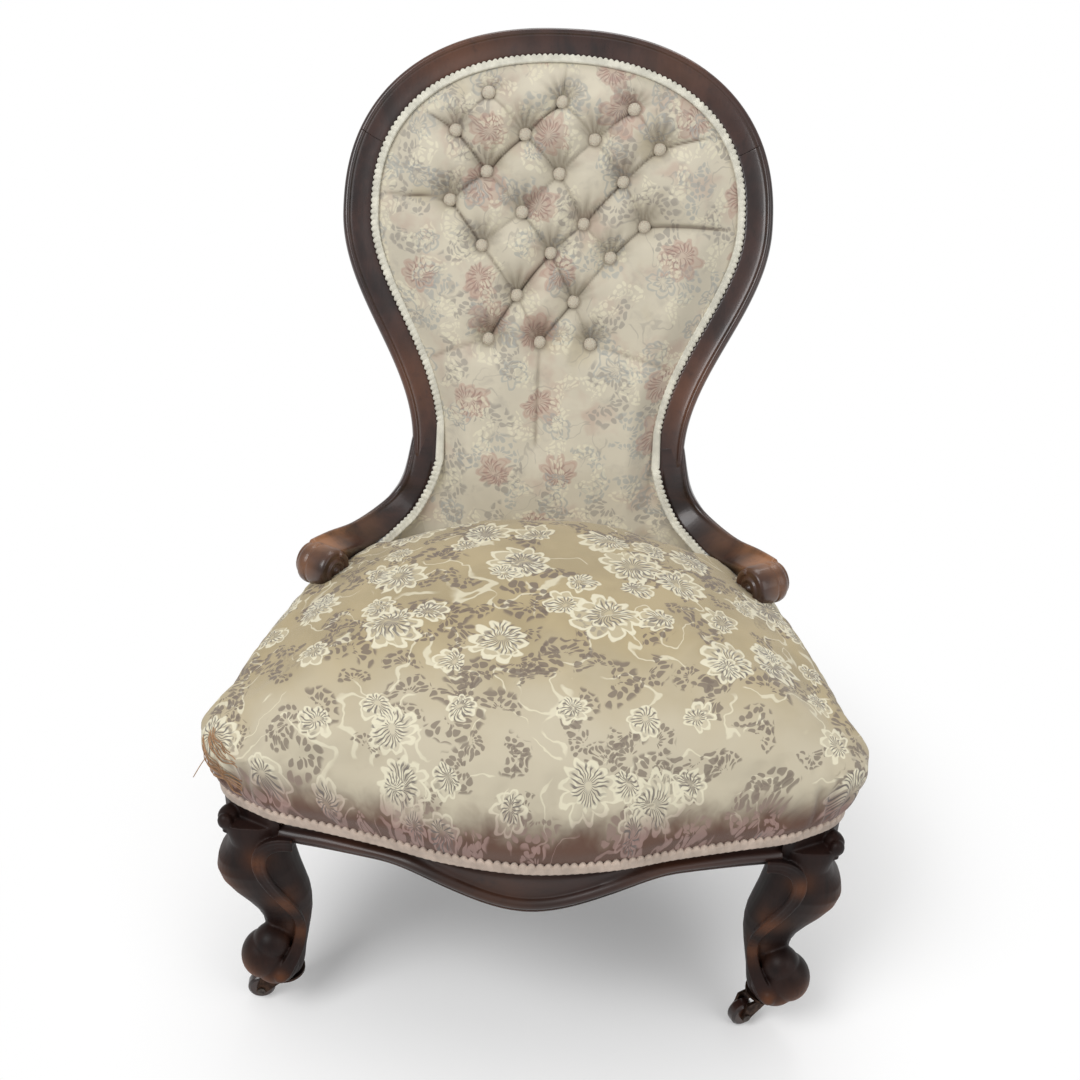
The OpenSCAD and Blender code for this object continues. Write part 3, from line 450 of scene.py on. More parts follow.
def flowers(where, scale, petals, offset, size, share):
    # two rings of outlined petals about a dark heart, with strokes between
    reach, angle, dice = localPlace(where, scale, 0.6, offset)
    reach = noiseOf(where, 120.0, 1) * 0.035 + (reach - 0.0175)
    lobes, small = (calc("ABSOLUTE", calc(wave, angle * turns))
                    for wave, turns in (("COSINE", petals / 2), ("SINE", petals / 2 - 0.5)))
    # the flower is seen a little from the side, so one half of its petals is longer
    grown = (dice[1] * (size * 0.35) + size * 0.75) * (calc("SINE", angle) * 0.22 + 0.88)
    edge, inner = (lobes * 0.30 + 0.70) * grown, (small * 0.22 + 0.36) * grown
    blooms = dice[2].fade(share, share + 0.02)
    line = calc("MAXIMUM", ringOf(reach, edge, size * 0.085), ringOf(reach, inner, size * 0.075)) * blooms
    strokes = calc("COSINE", angle * (petals * 2)).fade(0.25, 0.6)
    band = reach.fade(size * 0.10, size * 0.16) * (1.0 - reach.fade(size * 0.50, size * 0.66))
    return line, (edge - reach).fade(0.0, 0.02) * blooms, strokes * band * blooms


def leaves(where, scale, offset, size, share):
    # fans of lance-shaped leaves, each fan grown from a point of its own
    reach, angle, dice = localPlace(where, scale, 0.7, offset)
    polar = newNode(where.tree, "CombineXYZ", [angle * 2.3, dice[1] * 9.0 + reach * 6.6])
    shape = 1.0 - cells(where.tree, polar, 0.45).fade(0.34, 0.44)
    gate = (1.0 - reach.fade(size, size * 1.15)) * calc("SINE", angle).fade(-0.25, -0.1)
    return shape * (gate * reach.fade(size * 0.16, size * 0.24)) * dice[2].fade(share, share + 0.02)


def stems(where, scale, offset, width, share):
    field = noiseOf(vectorCalc("ADD", where, offset), scale, 1, 0.45, 0.7)
    gate = noiseOf(vectorCalc("ADD", where, (offset[1], offset[0], 0)), scale * 0.8, 1)
    return (1.0 - calc("ABSOLUTE", field - 0.5).fade(width, width * 2.2)) * gate.fade(share, share + 0.05)


def weave(where, threads):
    inputs = {"Vector": where, "Scale": threads, "Distortion": 0.6, "Detail": 1}
    return calc("MAXIMUM", *[newNode(where.tree, "TexWave", inputs, "Fac", bands_direction=way) for way in "XY"])


def clothCoat(shader, colour, height, strength):
    setInputs(shader, {
        "Base Color": colour, "Roughness": clothLooks["roughness"], "Sheen Weight": clothLooks["sheen"],
        "Sheen Roughness": 0.45, "Specular IOR Level": 0.25,
    })
    bump(shader, height, strength, 0.0008)


def tinted(colour, *layers):
    # each layer is a mask, how strong it is and its tint
    for mask, amount, tint in layers:
        colour = blend(mask * amount, colour, clothLooks[tint] if isinstance(tint, str) else tint)
    return colour


def backCloth(name, figured=True):
    material, tree, shader = newMaterial(name)
    where = wandering(placed(tree, "UV"), 42.0, 0.020)
    colour = mottled(noiseOf(where, 14.0, 3), clothLooks["backGround"], 0.9)
    height = weave(placed(tree, "UV"), clothLooks["threads"])
    if figured:
        pink = noiseOf(vectorCalc("ADD", where, (3.1, 1.7, 0)), 16.0, 3, 0.6).fade(0.52, 0.70)
        gold = noiseOf(vectorCalc("ADD", where, (7.4, 4.2, 0)), 13.0, 2, 0.6).fade(0.58, 0.74)
        colour = tinted(colour, (pink, 0.42, "backPink"), (gold, 0.30, "gold"),
                        (leaves(where, 17.0, (5.2, 2.6, 0), 0.42, 0.35), 0.70, "backGrey"),
                        (leaves(where, 21.0, (1.2, 8.6, 0), 0.44, 0.60), 0.60, "backBlue"))
        line, inside, strokes = flowers(where, 13.5, 9, (0.4, 0.9, 0), 0.36, 0.38)
        colour = tinted(colour, (inside, 0.42, "backPink"), (line, 0.50, "backPink"), (strokes, 0.55, "backInk"))
        line, inside, strokes = flowers(where, 19.0, 7, (6.1, 3.3, 0), 0.34, 0.45)
        # small soft wrinkles all over the stretched cloth: a bump, and a painted shade that darkens the cloth on
        # them
        creaseBumpAndShade = noiseOf(where, 40.0, 4, 0.62)
        # painted shade read from the pad's points, along the pleats and round and above the buttons, tinted
        # towards the shadow colour
        shaded = newNode(tree, "Attribute", (), "Fac", attribute_name="paintedPadShade")
        colour = tinted(colour, (line, 0.58, "backBlue"), (strokes, 0.45, "backGrey"),
                        (stems(where, 26.0, (2.0, 5.0, 0), 0.006, 0.5), 0.40, "backGrey"),
                        (leaves(where, 24.0, (9.1, 1.4, 0), 0.45, 0.25), 0.55, "cream"),
                        (creaseBumpAndShade.fade(0.52, 0.74), 0.34, "backGrey"), (shaded, 0.88, "shadow"))
        height = height + line * 0.7 + creaseBumpAndShade * 8.0
    clothCoat(shader, colour, height, 0.25)
    return material


def seatCloth(name):
    material, tree, shader = newMaterial(name)
    where, looks = wandering(placed(tree, "UV"), 34.0, 0.026), clothLooks
    parts = newNode(tree, "SeparateXYZ", [placed(tree)])
    far, high = parts[1], parts[2]
    worn = (noiseOf(where, 9.0, 3) * 0.14 + (-0.09 - far)).fade(0.15, 0.29)
    colour = blend(worn, mottled(noiseOf(where, 12.0, 3), looks["seatGround"], 0.84), looks["seatWorn"])
    # painted shade: a darker, pinker band low on the front roll over the braid, where the cloth turns under; the
    # sprigs reaching up out of it and the figures in it are tinted with it
    ragged = noiseOf(where, 26.0, 3, 0.6) * 0.05 + high * -1.0
    dusk = ragged.fade(-0.306, -0.256) * (far * -1.0).fade(0.17, 0.24)
    pale = blend(dusk, looks["cream"], looks["duskPink"])
    leafTone = blend(dusk, blend(worn, looks["leaf"], looks["leafWorn"]), looks["duskPink"])
    colour = blend(dusk, colour, looks["dusk"])
    sprays = ((11.5, (1.3, 6.1, 0), 0.34, 0.12), (15.0, (6.6, 2.3, 0), 0.36, 0.30),
              (19.0, (2.6, 9.3, 0), 0.34, 0.40))
    colour = tinted(colour, (stems(where, 17.0, (4.0, 1.0, 0), 0.008, 0.45), 0.7, pale),
                    *[(leaves(where, *spray), 0.82, leafTone) for spray in sprays])
    height = weave(placed(tree, "UV"), looks["threads"])
    for bloom in ((9.5, 11, (0.7, 0.2, 0), 0.34, 0.25), (14.5, 8, (3.7, 5.2, 0), 0.32, 0.40)):
        line, inside, strokes = flowers(where, *bloom)
        colour = tinted(colour, (inside, 0.28, pale), (line, 0.92, pale), (strokes, 0.85, "ink"))
        height = height + line * 0.8
    clothCoat(shader, colour, height, 0.3)
    return material


def braidMaterial(name, tint):
    material, tree, shader = newMaterial(name)
    inputs = {"Vector": placed(tree, "UV", rotation=(0, 0, 0.7)), "Scale": 260, "Distortion": 1.2}
    twist = newNode(tree, "TexWave", inputs, "Fac")
    colour = mottled(noiseOf(placed(tree), 70.0, 3), tint, 0.72, 0.3, 0.75)
    clothCoat(shader, blend(twist * 0.35, colour, [c * 0.55 for c in tint]), twist, 0.5)
    return material


def plainCloth(name, tint, threads):
    material, tree, shader = newMaterial(name)
    where = placed(tree)
    clothCoat(shader, mottled(noiseOf(where, 40.0), tint, 0.7, 0.3), weave(where, threads), 0.4)
    return material


def metalMaterial(name, tint, dull, roughness):
    material, tree, shader = newMaterial(name)
    where = placed(tree)
    tarnish = noiseOf(where, 140.0, 4, 0.6).fade(0.38, 0.68)
    setInputs(shader, {
        "Base Color": blend(tarnish, tint, dull), "Roughness": tarnish * 0.25 + roughness, "Metallic": 0.9,
    })
    bump(shader, noiseOf(where, 300.0), 0.15, 0.0003)
    return material


backFabric = backCloth("backFabric")
outsideFabric = backCloth("outsideFabric", False)
seatFabric = seatCloth("seatFabric")
seatBraid = braidMaterial("seatBraid", (0.72, 0.58, 0.48))
backBraid = braidMaterial("backBraid", (0.90, 0.87, 0.74))
frayedYarn = plainCloth("frayedYarn", (0.44, 0.25, 0.13), 300)
blackLinen = plainCloth("blackLinen", (0.018, 0.017, 0.016), 500)
castorBrown = metalMaterial("castorBrown", (0.06, 0.032, 0.02), (0.022, 0.012, 0.009), 0.40)
paleSteel = metalMaterial("paleSteel", (0.42, 0.41, 0.40), (0.16, 0.13, 0.11), 0.35)
pinSteel = metalMaterial("pinSteel", (0.10, 0.085, 0.075), (0.04, 0.03, 0.025), 0.42)
wheelBrown = woodMaterial("wheelBrown", (60, 60, 60), 0.7, False)
paleDowel = plainCloth("paleDowel", (0.42, 0.28, 0.15), 200)
print("materials made")

# Show-wood frame of the back
frameLooks = {
    "profile": [(0.0, 0.50), (0.0, 0.30), (0.015, 0.17), (0.05, 0.08), (0.10, 0.025), (0.16, 0.0),
                (0.22, 0.015), (0.255, 0.055), (0.28, 0.10), (0.33, 0.125), (0.42, 0.15), (0.54, 0.175),
                (0.68, 0.19), (0.84, 0.20), (0.97, 0.21), (1.0, 0.25), (1.0, 0.55), (1.0, 0.86),
                (0.97, 0.98), (0.86, 1.0), (0.5, 1.0), (0.16, 1.0), (0.05, 0.95), (0.0, 0.82)],
    "crestEnd": 0.75,
}


def frameRing(s):
    # below the waist the face falls back, where the arm and the padding lie over it
    width = faceWidth(abs(s))
    sink = 0.006 * ease((abs(s) - 2.02) / 0.10)
    return [rimPoint(s, a * width, -max(d * frameDepth, sink)) for a, d in frameLooks["profile"]]


def framePart(name, start, end, count, spots, replaced):
    # rings close together at both ends keep the ends flat through the subdivision
    steps = [start, mix(start, end, 0.0008)] + [mix(start, end, k / count) for k in range(1, count)] \
        + [mix(start, end, 0.9992), end]
    piece = subdivide(bevelled(loft(name, [frameRing(s) for s in steps]), 0.00025, 1, 60))
    rub(piece, spots)
    return dress(piece, uprightWood, "chair", replaced)


end = frameLooks["crestEnd"]
framePart("crestRail", -end, end, 60,
          [(rimPoint(0.35, 0.002, 0), 0.05, 0.25), (rimPoint(-0.3, 0.002, 0), 0.06, 0.35)], ["crest_rail"])
for side, word in ((1, "Right"), (-1, "Left")):
    framePart("stile" + word, side * (end + 0.0004), side * 3.0, 96,
              [(rimPoint(side * 1.75, 0.004, 0), 0.05, 0.35)], ["stile_" + word.lower()])
print("back frame made")

# Arms that sweep out of the posts and curl over into scrolls
armLooks = {
    "path": [(-0.18, -0.06, 1.45), (-0.084, 0.065, 0.53), (0.078, 0.144, 0.04), (0.295, 0.30, -0.187),
             (0.584, 0.555, -0.25), (0.836, 0.794, -0.09), (0.99, 0.97, 0.05)],
    "section": [(0.50, 0.45), (0.50, 0.26), (0.485, 0.14), (0.45, 0.05), (0.39, 0.0), (0.33, 0.01),
                (0.29, 0.05), (0.25, 0.08), (0.15, 0.10), (0.0, 0.12), (-0.2, 0.135), (-0.38, 0.15),
                (-0.47, 0.18), (-0.50, 0.25), (-0.50, 0.6), (-0.50, 0.86), (-0.45, 0.97), (-0.3, 1.0),
                (0.3, 1.0), (0.44, 0.97), (0.50, 0.85)],
    "thick": 0.026, "endShare": 1.25, "drumIn": 0.005, "drumUp": 0.0035, "scrollRise": 0.092,
    "scrollSize": 0.045, "scrollX": 0.2416, "scrollBack": 0.26, "coilTurns": 1.5, "cutX": 0.029,
}
armEnd, scrollRadius = armLooks["endShare"] * waistFace, armLooks["scrollSize"] / 2
armStartZ = waistZ - waistFace / 2
scrollTopZ = railZ + armLooks["scrollRise"] + armLooks["scrollSize"] + armLooks["thick"] / 2
scrollY = chair["backFaceY"] - chair["seatDepth"] * armLooks["scrollBack"] - middleY
armRun = Vector((armLooks["scrollX"] - halfWaist, scrollY - backY(armStartZ), 0)).normalized()
scrollWay = Vector((-armRun.y, armRun.x, 0))
scrollMiddle = Vector((armLooks["scrollX"], scrollY, scrollTopZ - scrollRadius)) \
    + armRun * scrollRadius / 4 - scrollWay * armLooks["drumIn"] + Vector((0, 0, armLooks["drumUp"]))
armPath = curveThrough([(mix(halfWaist, armLooks["scrollX"], a), mix(backY(armStartZ), scrollY, b),
                         mix(scrollTopZ, armStartZ, c)) for a, b, c in armLooks["path"]], 7)


def armFrame(k):
    # the face's and the side's directions, and the width, at a step of the arm's path
    t, way = k / (len(armPath) - 1), wayAt(armPath, k)
    turned = Vector((-1, -1, 1)).normalized()
    raw = backNormal(waistZ).lerp(turned, t).lerp(turned.lerp(Vector((0, 0, 1)), t), t)
    face = (raw - way * raw.dot(way)).normalized()
    return face, face.cross(way), mix(waistFace, armEnd, t)


def onScroll(along, reach, a):
    # a point round the scroll's axis
    return scrollMiddle + scrollWay * along + (armRun * cos(a) + Vector((0, 0, sin(a)))) * reach


def armPart(name):
    rings = []
    for k, p in enumerate(armPath):
        face, side, width = armFrame(k)
        # the root lies a little over the post's face, and runs out at its top
        lift = mix(-0.0016, 0.0007, ease(k / 7))
        rings.append([p + side * a * width - face * (d * armLooks["thick"] - lift)
                      for a, d in armLooks["section"]])
    half = armEnd / 2
    # the drum, with a groove that carries on the bead along the arm's outer edge
    drum = [(-half - 0.0008, 0.84), (-half - 0.0002, 0.93), (-half + 0.0025, 1.0), (-half + 0.006, 1.02),
            (half - 0.0155, 1.02), (half - 0.0140, 0.965), (half - 0.0125, 0.965), (half - 0.0110, 1.01),
            (half - 0.0065, 1.02), (half - 0.0025, 0.97), (half - 0.0004, 0.88), (half + 0.0004, 0.78)]
    parts = [loft(name, rings), loft(name + "Drum", [[onScroll(along, scrollRadius * share, 2 * pi * k / 48)
                                                      for k in range(48)] for along, share in drum])]
    # a coiled bead on both ends of the drum, and its eye
    shares = [k / 79 for k in range(80)]
    for face in (-1, 1):
        coil = [onScroll(face * (half + 0.0012), scrollRadius * mix(0.80, 0.30, t ** 0.9),
                         pi * 0.62 - face * t * 2 * pi * armLooks["coilTurns"]) for t in shares]
        parts.append(loft(name + "Coil", tubeRings(coil, [mix(0.0034, 0.0021, t) for t in shares])))
        parts.append(ballPart(name + "Eye", scrollMiddle + scrollWay * face * half, (0.0046, 0.0046, 0.0040)))
    # the inner end is cut off flat, under the padding
    cut = {"plane_co": (halfWaist - armLooks["cutX"], 0, 0), "plane_no": (1, 0, 0)}
    piece = editAll(carved(name, parts, 0.0010),
                    lambda: bpy.ops.mesh.bisect(use_fill=True, clear_inner=True, **cut))
    bpy.ops.object.shade_smooth_by_angle(angle=radians(50))
    return piece


dressPair(armPart("scrollArmRight"), "scrollArm", "scroll_arm", levelWood,
          [(0.240, 0.012, 0, 0.026, 1.0), (0.252, -0.012, -0.018, 0.016, 0.85),
           (0.228, 0.045, 0.004, 0.020, 0.6), (0.200, 0.075, 0.002, 0.022, 0.3)], scrollY, scrollTopZ)
print("arms made")

# Outline of the seat: half of it, from the middle of the front round to the middle of the rear
seatLooks = {
    "front": [(0, -0.024), (0.25, -0.003), (0.45, 0.037), (0.64, 0.068)],
    "corner": [(0.87, 0.112), (0.955, 0.145), (1, 0.188)],
    "side": [(0.945, 0.42), (0.87, 0.60), (0.79, 0.74), (0.675, 0.845), (0.565, 0.915)],
    "rear": [(0.3, 1.01), (0, 1.01)],
    "steps": 8,
}


def inPlan(share):
    return Vector((share[0] * chair["seatWidth"] / 2,
                   share[1] * chair["seatDepth"] - chair["bow"] - middleY))


legInX = chair["seatWidth"] / 2 - chair["blockWidth"]
legSideY = chair["legSideY"] - middleY
halfPlan = ([inPlan(s) for s in seatLooks["front"]] + [Vector((legInX, inPlan((0, 0.09)).y))]
            + [inPlan(s) for s in seatLooks["corner"]] + [Vector((0.998 * chair["seatWidth"] / 2, legSideY))]
            + [inPlan(s) for s in seatLooks["side"]] + [inPlan(s) for s in seatLooks["rear"]])
control = halfPlan + [Vector((-p.x, p.y)) for p in halfPlan[-2:0:-1]]
steps = seatLooks["steps"]
plan = [spline(*(control[(i + j) % len(control)] for j in (-1, 0, 1, 2)), k / steps)
        for i in range(len(control)) for k in range(steps)]
planCount = len(plan)
legFrom, legTo, sideTo = 4 * steps, 8 * steps, 13 * steps


def planOut(i):
    way = (plan[(i + 1) % planCount] - plan[(i - 1) % planCount]).normalized()
    return Vector((way.y, -way.x))


def seatPoint(i, out, z, gap=0.0003):
    i %= planCount
    p = plan[i] + planOut(i) * out
    return Vector((p.x, min(p.y, backY(z) - gap), z))


def lineZ(i):
    return railZ + chair["cornerRise"] * (abs(plan[i % planCount].x) / (chair["seatWidth"] / 2)) ** 2


# Front rail: a cove under the braid and a bold bead along its shaped lower edge
railLooks = {"apronDrop": 0.030, "apronHalf": 0.145}


def apronZ(x):
    low = railZ - chair["railShow"]
    return low - railLooks["apronDrop"] * cos(pi / 2 * min(1, abs(x) / railLooks["apronHalf"])) ** 2


def railRing(i):
    low, high = apronZ(plan[i % planCount].x), lineZ(i)
    span = high - low
    shelf = low + min(0.0150, 0.62 * span)
    profile = [(-0.026, low), (-0.010, low), (-0.0040, low), (-0.0022, low + 0.0004), (-0.0012, low + 0.0014),
               (-0.0016, low + 0.0026), (-0.0030, low + 0.0033), (-0.0008, low + 0.0042), (0.0014, low + 0.0062),
               (0.0024, low + 0.0088), (0.0016, low + 0.0116), (-0.0014, shelf - 0.0006), (-0.0050, shelf),
               (-0.0082, mix(shelf, high, 0.25)), (-0.0080, mix(shelf, high, 0.55)),
               (-0.0046, mix(shelf, high, 0.8)), (-0.0004, high - 0.0012), (-0.0002, high - 0.0002),
               (-0.009, high), (-0.009, chair["railTop"]), (-0.026, chair["railTop"])]
    return [seatPoint(i, out, z, 0) for out, z in profile]


def endRing(ring, i, x):
    # slides an end ring along the outline's way to the joint
    n = planOut(i)
    return [Vector((x, p.y - (x - p.x) * n.x / n.y, p.z)) for p in ring]


rightRings = [railRing(i) for i in range(legFrom)] + [endRing(railRing(legFrom), legFrom, legInX + 0.0016)]
leftRings = [[Vector((-p.x, p.y, p.z)) for p in ring] for ring in rightRings[:0:-1]]
frontRail = subdivide(bevelled(loft("frontRail", leftRings + rightRings), 0.0005, 1, 50))
rub(frontRail, [(Vector((x, inPlan((0, 0)).y, apronZ(x) + 0.01)), 0.05, 0.14) for x in (-0.16, -0.03, 0.14)])
dress(frontRail, railWood, "chair", ["front_rail"])
print("front rail made")

# Front legs: a cabriole body, a scrolled ear, a C-shaped moulding and a ball foot
legLooks = {
    # height, outer and inner side, middle from front to rear, half depth and squareness
    "rows": [(0.0370, 0.2700, 0.2360, 0.0450, 0.0180, 1), (0.0420, 0.2740, 0.2325, 0.0450, 0.0210, 0.95),
             (0.0500, 0.2740, 0.2305, 0.0460, 0.0225, 0.9), (0.0650, 0.2720, 0.2290, 0.0490, 0.0228, 0.9),
             (0.0800, 0.2705, 0.2265, 0.0540, 0.0222, 0.9), (0.0950, 0.2700, 0.2240, 0.0560, 0.0225, 0.9),
             (0.1100, 0.2725, 0.2220, 0.0565, 0.0240, 0.88), (0.1250, 0.2780, 0.2215, 0.0550, 0.0262, 0.86),
             (0.1400, 0.2870, 0.2225, 0.0525, 0.0285, 0.84), (0.1550, 0.2980, 0.2255, 0.0500, 0.0305, 0.82),
             (0.1700, 0.3065, 0.2290, 0.0480, 0.0322, 0.8), (0.1850, 0.3095, 0.2320, 0.0465, 0.0332, 0.78),
             (0.1980, 0.3070, 0.2350, 0.0470, 0.0328, 0.74), (0.2100, 0.2985, 0.2375, 0.0480, 0.0322, 0.7),
             (0.2200, 0.2930, 0.2385, 0.0485, 0.0320, 0.66), (0.2320, 0.2960, 0.2395, 0.0490, 0.0318, 0.6),
             (0.2440, 0.3000, 0.2400, 0.0500, 0.0312, 0.6)],
    # balls: middle, radii and turn; a foot, its heel, a shoulder over it and a carved knob at the top corner
    "balls": [((0.2680, 0.0320, 0.0695), (0.0240, 0.0250, 0.0260), 0),
              ((0.2560, 0.0290, 0.0575), (0.0225, 0.02025, 0.0198), 0),
              ((0.2600, 0.0325, 0.0860), (0.0195, 0.0200, 0.0190), 0),
              ((0.2925, 0.0385, 0.2470), (0.0095, 0.0130, 0.0080), 0.4),
              ((0.2940, 0.0275, 0.2460), (0.0075, 0.0065, 0.0085), 0.4),
              ((0.2905, 0.0335, 0.2360), (0.0060, 0.0110, 0.0050), 0.4)],
    "sides": 40,
}


def legRing(z, outer, inner, middle, half, square):
    x, reach = (outer + inner) / 2, (outer - inner) / 2
    return [Vector((x + reach * u, middle - middleY + half * v, z))
            for u, v in squareRound(legLooks["sides"], square)]


def blockRing(inset, z):
    points = [seatPoint(i, -inset, z) for i in range(legFrom, legTo + 1)]
    return [Vector((max(legInX, p.x), min(legSideY, p.y), z)) for p in points] + [Vector((legInX, legSideY, z))]


def legPart(name):
    parts = [loft(name, [legRing(*row) for row in legLooks["rows"]])]
    low, high = railZ - chair["railShow"], railZ + chair["cornerRise"]
    parts.append(loft(name + "Block", [blockRing(inset, z) for inset, z in (
        (0.0015, low - 0.003), (0.0004, low), (0.0002, railZ), (0.0002, high - 0.004),
        (0.009, high - 0.0035), (0.0095, chair["railTop"]))]))
    return parts + [ballPart(name + "Ball", (x, y - middleY, z), radii, turned)
                    for (x, y, z), radii, turned in legLooks["balls"]]


# the C-shaped moulding: points on the leg's inner front edge, with its size
legMoulding = [(0.2262, 0.0130, 0.2345, 0.0052), (0.2360, 0.0135, 0.2345, 0.0054),
               (0.2455, 0.0135, 0.2325, 0.0056), (0.2540, 0.0135, 0.2270, 0.0056),
               (0.2590, 0.0135, 0.2180, 0.0055), (0.2605, 0.0138, 0.2060, 0.0053),
               (0.2580, 0.0145, 0.1930, 0.0051), (0.2520, 0.0160, 0.1780, 0.0049),
               (0.2440, 0.0188, 0.1620, 0.0047), (0.2370, 0.0238, 0.1450, 0.0045),
               (0.2315, 0.0295, 0.1280, 0.0044), (0.2290, 0.0335, 0.1120, 0.0044),
               (0.2300, 0.0335, 0.0960, 0.0046), (0.2340, 0.0280, 0.0810, 0.0050),
               (0.2405, 0.0205, 0.0690, 0.0054), (0.2465, 0.0165, 0.0590, 0.0058)]
parts = legPart("frontLegRight")
line = curveThrough([(x, y - middleY, z) for x, y, z, r in legMoulding], 6)
sizes = [v.x for v in curveThrough([(r, 0, 0) for x, y, z, r in legMoulding], 6)]
parts.append(loft("moulding", tubeRings(line, [r * 1.05 for r in sizes], 12)))
# a ridge along each side of the moulding
toFront = Vector((0, -1, 0))
for hand in (-1, 1):
    ridge = [point + wayAt(line, k).cross(toFront).normalized() * hand * size * 0.92 + toFront * size * 0.72
             for k, (point, size) in enumerate(zip(line, sizes))]
    parts.append(loft("ridge", tubeRings(ridge, [r * 0.42 for r in sizes])))
parts.append(ballPart("mouldingEye", (0.2490, 0.0135 - middleY, 0.0570), (0.0082, 0.0070, 0.0086)))
dressPair(carved("frontLegRight", parts, 0.0012), "frontLeg", "front_leg", legWood,
          [(0.310, 0.030, 0.166, 0.022, 0.75), (0.288, 0.014, 0.050, 0.020, 0.9),
           (0.268, 0.008, 0.044, 0.014, 0.7), (0.262, 0.012, 0.210, 0.012, 0.4),
           (0.240, 0.018, 0.150, 0.016, 0.4), (0.229, 0.030, 0.105, 0.014, 0.3),
           (0.248, 0.008, 0.058, 0.008, 0.4)], -middleY, 0)
print("front legs made")

# Rear legs, raked back and tapering to the castors
rearLooks = {
    "x": 0.1435, "footX": 0.1510, "rake": 0.112, "size": 0.042, "castorTop": 0.037,
    # share of the height, share of the rake, and size
    "rows": [(0, 1, 1), (0.06, 0.965, 0.93), (0.12, 0.93, 0.87), (0.22, 0.80, 0.81), (0.35, 0.62, 0.79),
             (0.48, 0.45, 0.81), (0.6, 0.30, 0.86), (0.72, 0.17, 0.93), (0.85, 0.07, 0.99)],
}


def rearLeg(name):
    topY = backY(postFootZ) + frameDepth / 2
    rings = []
    for height, back, size in rearLooks["rows"]:
        z = mix(rearLooks["castorTop"], postFootZ, height)
        r = size * rearLooks["size"] / 2
        square = mix(1, 0.55, ease((height - 0.3) / 0.5))
        x, y = mix(rearLooks["x"], rearLooks["footX"], back), topY + rearLooks["rake"] * back
        rings.append([Vector((x + r * u, y + r * v, z)) for u, v in squareRound(32, square)])
    head = [onBack(rearLooks["x"] + 0.015 * u, postFootZ, -frameDepth / 2 - 0.014 * v)
            for u, v in squareRound(32, 0.3)]
    return subdivide(bevelled(loft(name, rings + [head]), 0.0012, 2, 70))


dressPair(rearLeg("rearLegRight"), "rearLeg", "rear_leg", legWood, [], 0, 0)
print("rear legs made")

# Seat cushion: a closed pad drawn in at the rails, swollen by a short simulation
cushionLooks = {
    "sideSwell": 0.026, "frontSwell": 0.002, "cornerSwell": 0.020,
    "side": 0.092, "crown": 0.078, "rearRise": 0.050,
    "riseFrom": 0.30, "risePower": 1.1, "cornerDrop": 0.15, "domePowers": (2.4, 0.85),
    "shape": [(0.04, 0.03), (0.22, 0.13), (0.50, 0.29), (0.78, 0.44), (0.96, 0.58), (1.0, 0.70),
              (0.80, 0.83), (0.25, 0.93), (-0.6, 1.0)],
    "dome": [0.95, 0.88, 0.78, 0.66, 0.54, 0.42, 0.30, 0.18, 0.08],
    "shrink": 0.003, "voxel": 0.005, "cap": 0.010, "pressure": 4,
    "freeZ": 0.285, "heldZ": 0.262, "holdFade": 0.023, "lumps": 0.0022, "puckers": 0.0022,
}
seatEdgeZ = railZ + cushionLooks["side"]
crownZ = seatEdgeZ + cushionLooks["crown"]
seatMiddleY = chair["seatDepth"] / 2 - middleY


def edgeZ(i):
    p = plan[i % planCount]
    x = min(1, abs(p.x) / halfWaist)
    y = (p.y + middleY + chair["bow"]) / chair["seatDepth"]
    back = max(0, (y - cushionLooks["riseFrom"]) / (1 - cushionLooks["riseFrom"]))
    drop = 1 - cushionLooks["cornerDrop"] * x * x
    return seatEdgeZ + cushionLooks["rearRise"] * back ** cushionLooks["risePower"] * drop


def swell(i):
    n = planOut(i % planCount)
    return (cushionLooks["sideSwell"] * mix(0.58, 1, ease(abs(n.x))) + cushionLooks["frontSwell"] * max(0, -n.y)
            + 2 * cushionLooks["cornerSwell"] * max(0, abs(n.x) * n.y))


def sideRing(out, up):
    ring = []
    for i in range(0, planCount, 2):
        z = mix(lineZ(i), edgeZ(i), up)
        ring.append(seatPoint(i, out * swell(i) - cushionLooks["shrink"] * (out > 0), z))
    return ring


def domeRing(share, edge):
    ring = []
    for p in edge:
        x, y = p.x * share, mix(seatMiddleY, p.y, share)
        bend, full = cushionLooks["domePowers"]
        z = mix(p.z, crownZ, (1 - share ** bend) ** full) - cushionLooks["shrink"]
        ring.append(Vector((x, min(y, backY(z) - 0.0003), z)))
    return ring


def clothUvs(piece, place):
    layer = piece.data.uv_layers.get("clothUv") or piece.data.uv_layers.new(name="clothUv")
    spots = [place(v.co) for v in piece.data.vertices]
    for loop in piece.data.loops:
        layer.data[loop.index].uv = spots[loop.vertex_index]


def puff(piece, voxel, pressure, cap, held):
    # voxel remesh, then a short cloth simulation that may move each point only so far
    useModifier(piece, "REMESH", mode="VOXEL", voxel_size=voxel, use_smooth_shade=True)
    useModifier(piece, "SMOOTH", factor=0.5, iterations=4)
    before = [v.co.copy() for v in piece.data.vertices]
    group = piece.vertex_groups.new(name="held")
    for i, p in enumerate(before):
        grip = held(p)
        if grip > 0:
            group.add([i], min(1, grip), "REPLACE")
    cloth = piece.modifiers.new("Cloth", "CLOTH")
    cloth.settings.use_pressure = True
    cloth.settings.uniform_pressure_force = pressure
    cloth.settings.vertex_group_mass = "held"
    cloth.settings.effector_weights.gravity = 0
    cloth.settings.quality = 4
    cloth.point_cache.frame_start, cloth.point_cache.frame_end = 1, 20
    for number in range(1, 21):
        scene.frame_set(number)
    graph = bpy.context.evaluated_depsgraph_get()
    after = [v.co.copy() for v in piece.evaluated_get(graph).data.vertices]
    piece.modifiers.remove(cloth)
    scene.frame_set(1)
    for v, old, new in zip(piece.data.vertices, before, after):
        move = new - old
        if move.length > cap:
            move = move.normalized() * (cap + 0.2 * min(move.length - cap, cap))
        v.co = old + move * (1 - min(1, held(old)))
    piece.data.update()
    return piece


edge = sideRing(-0.6, 1.0)


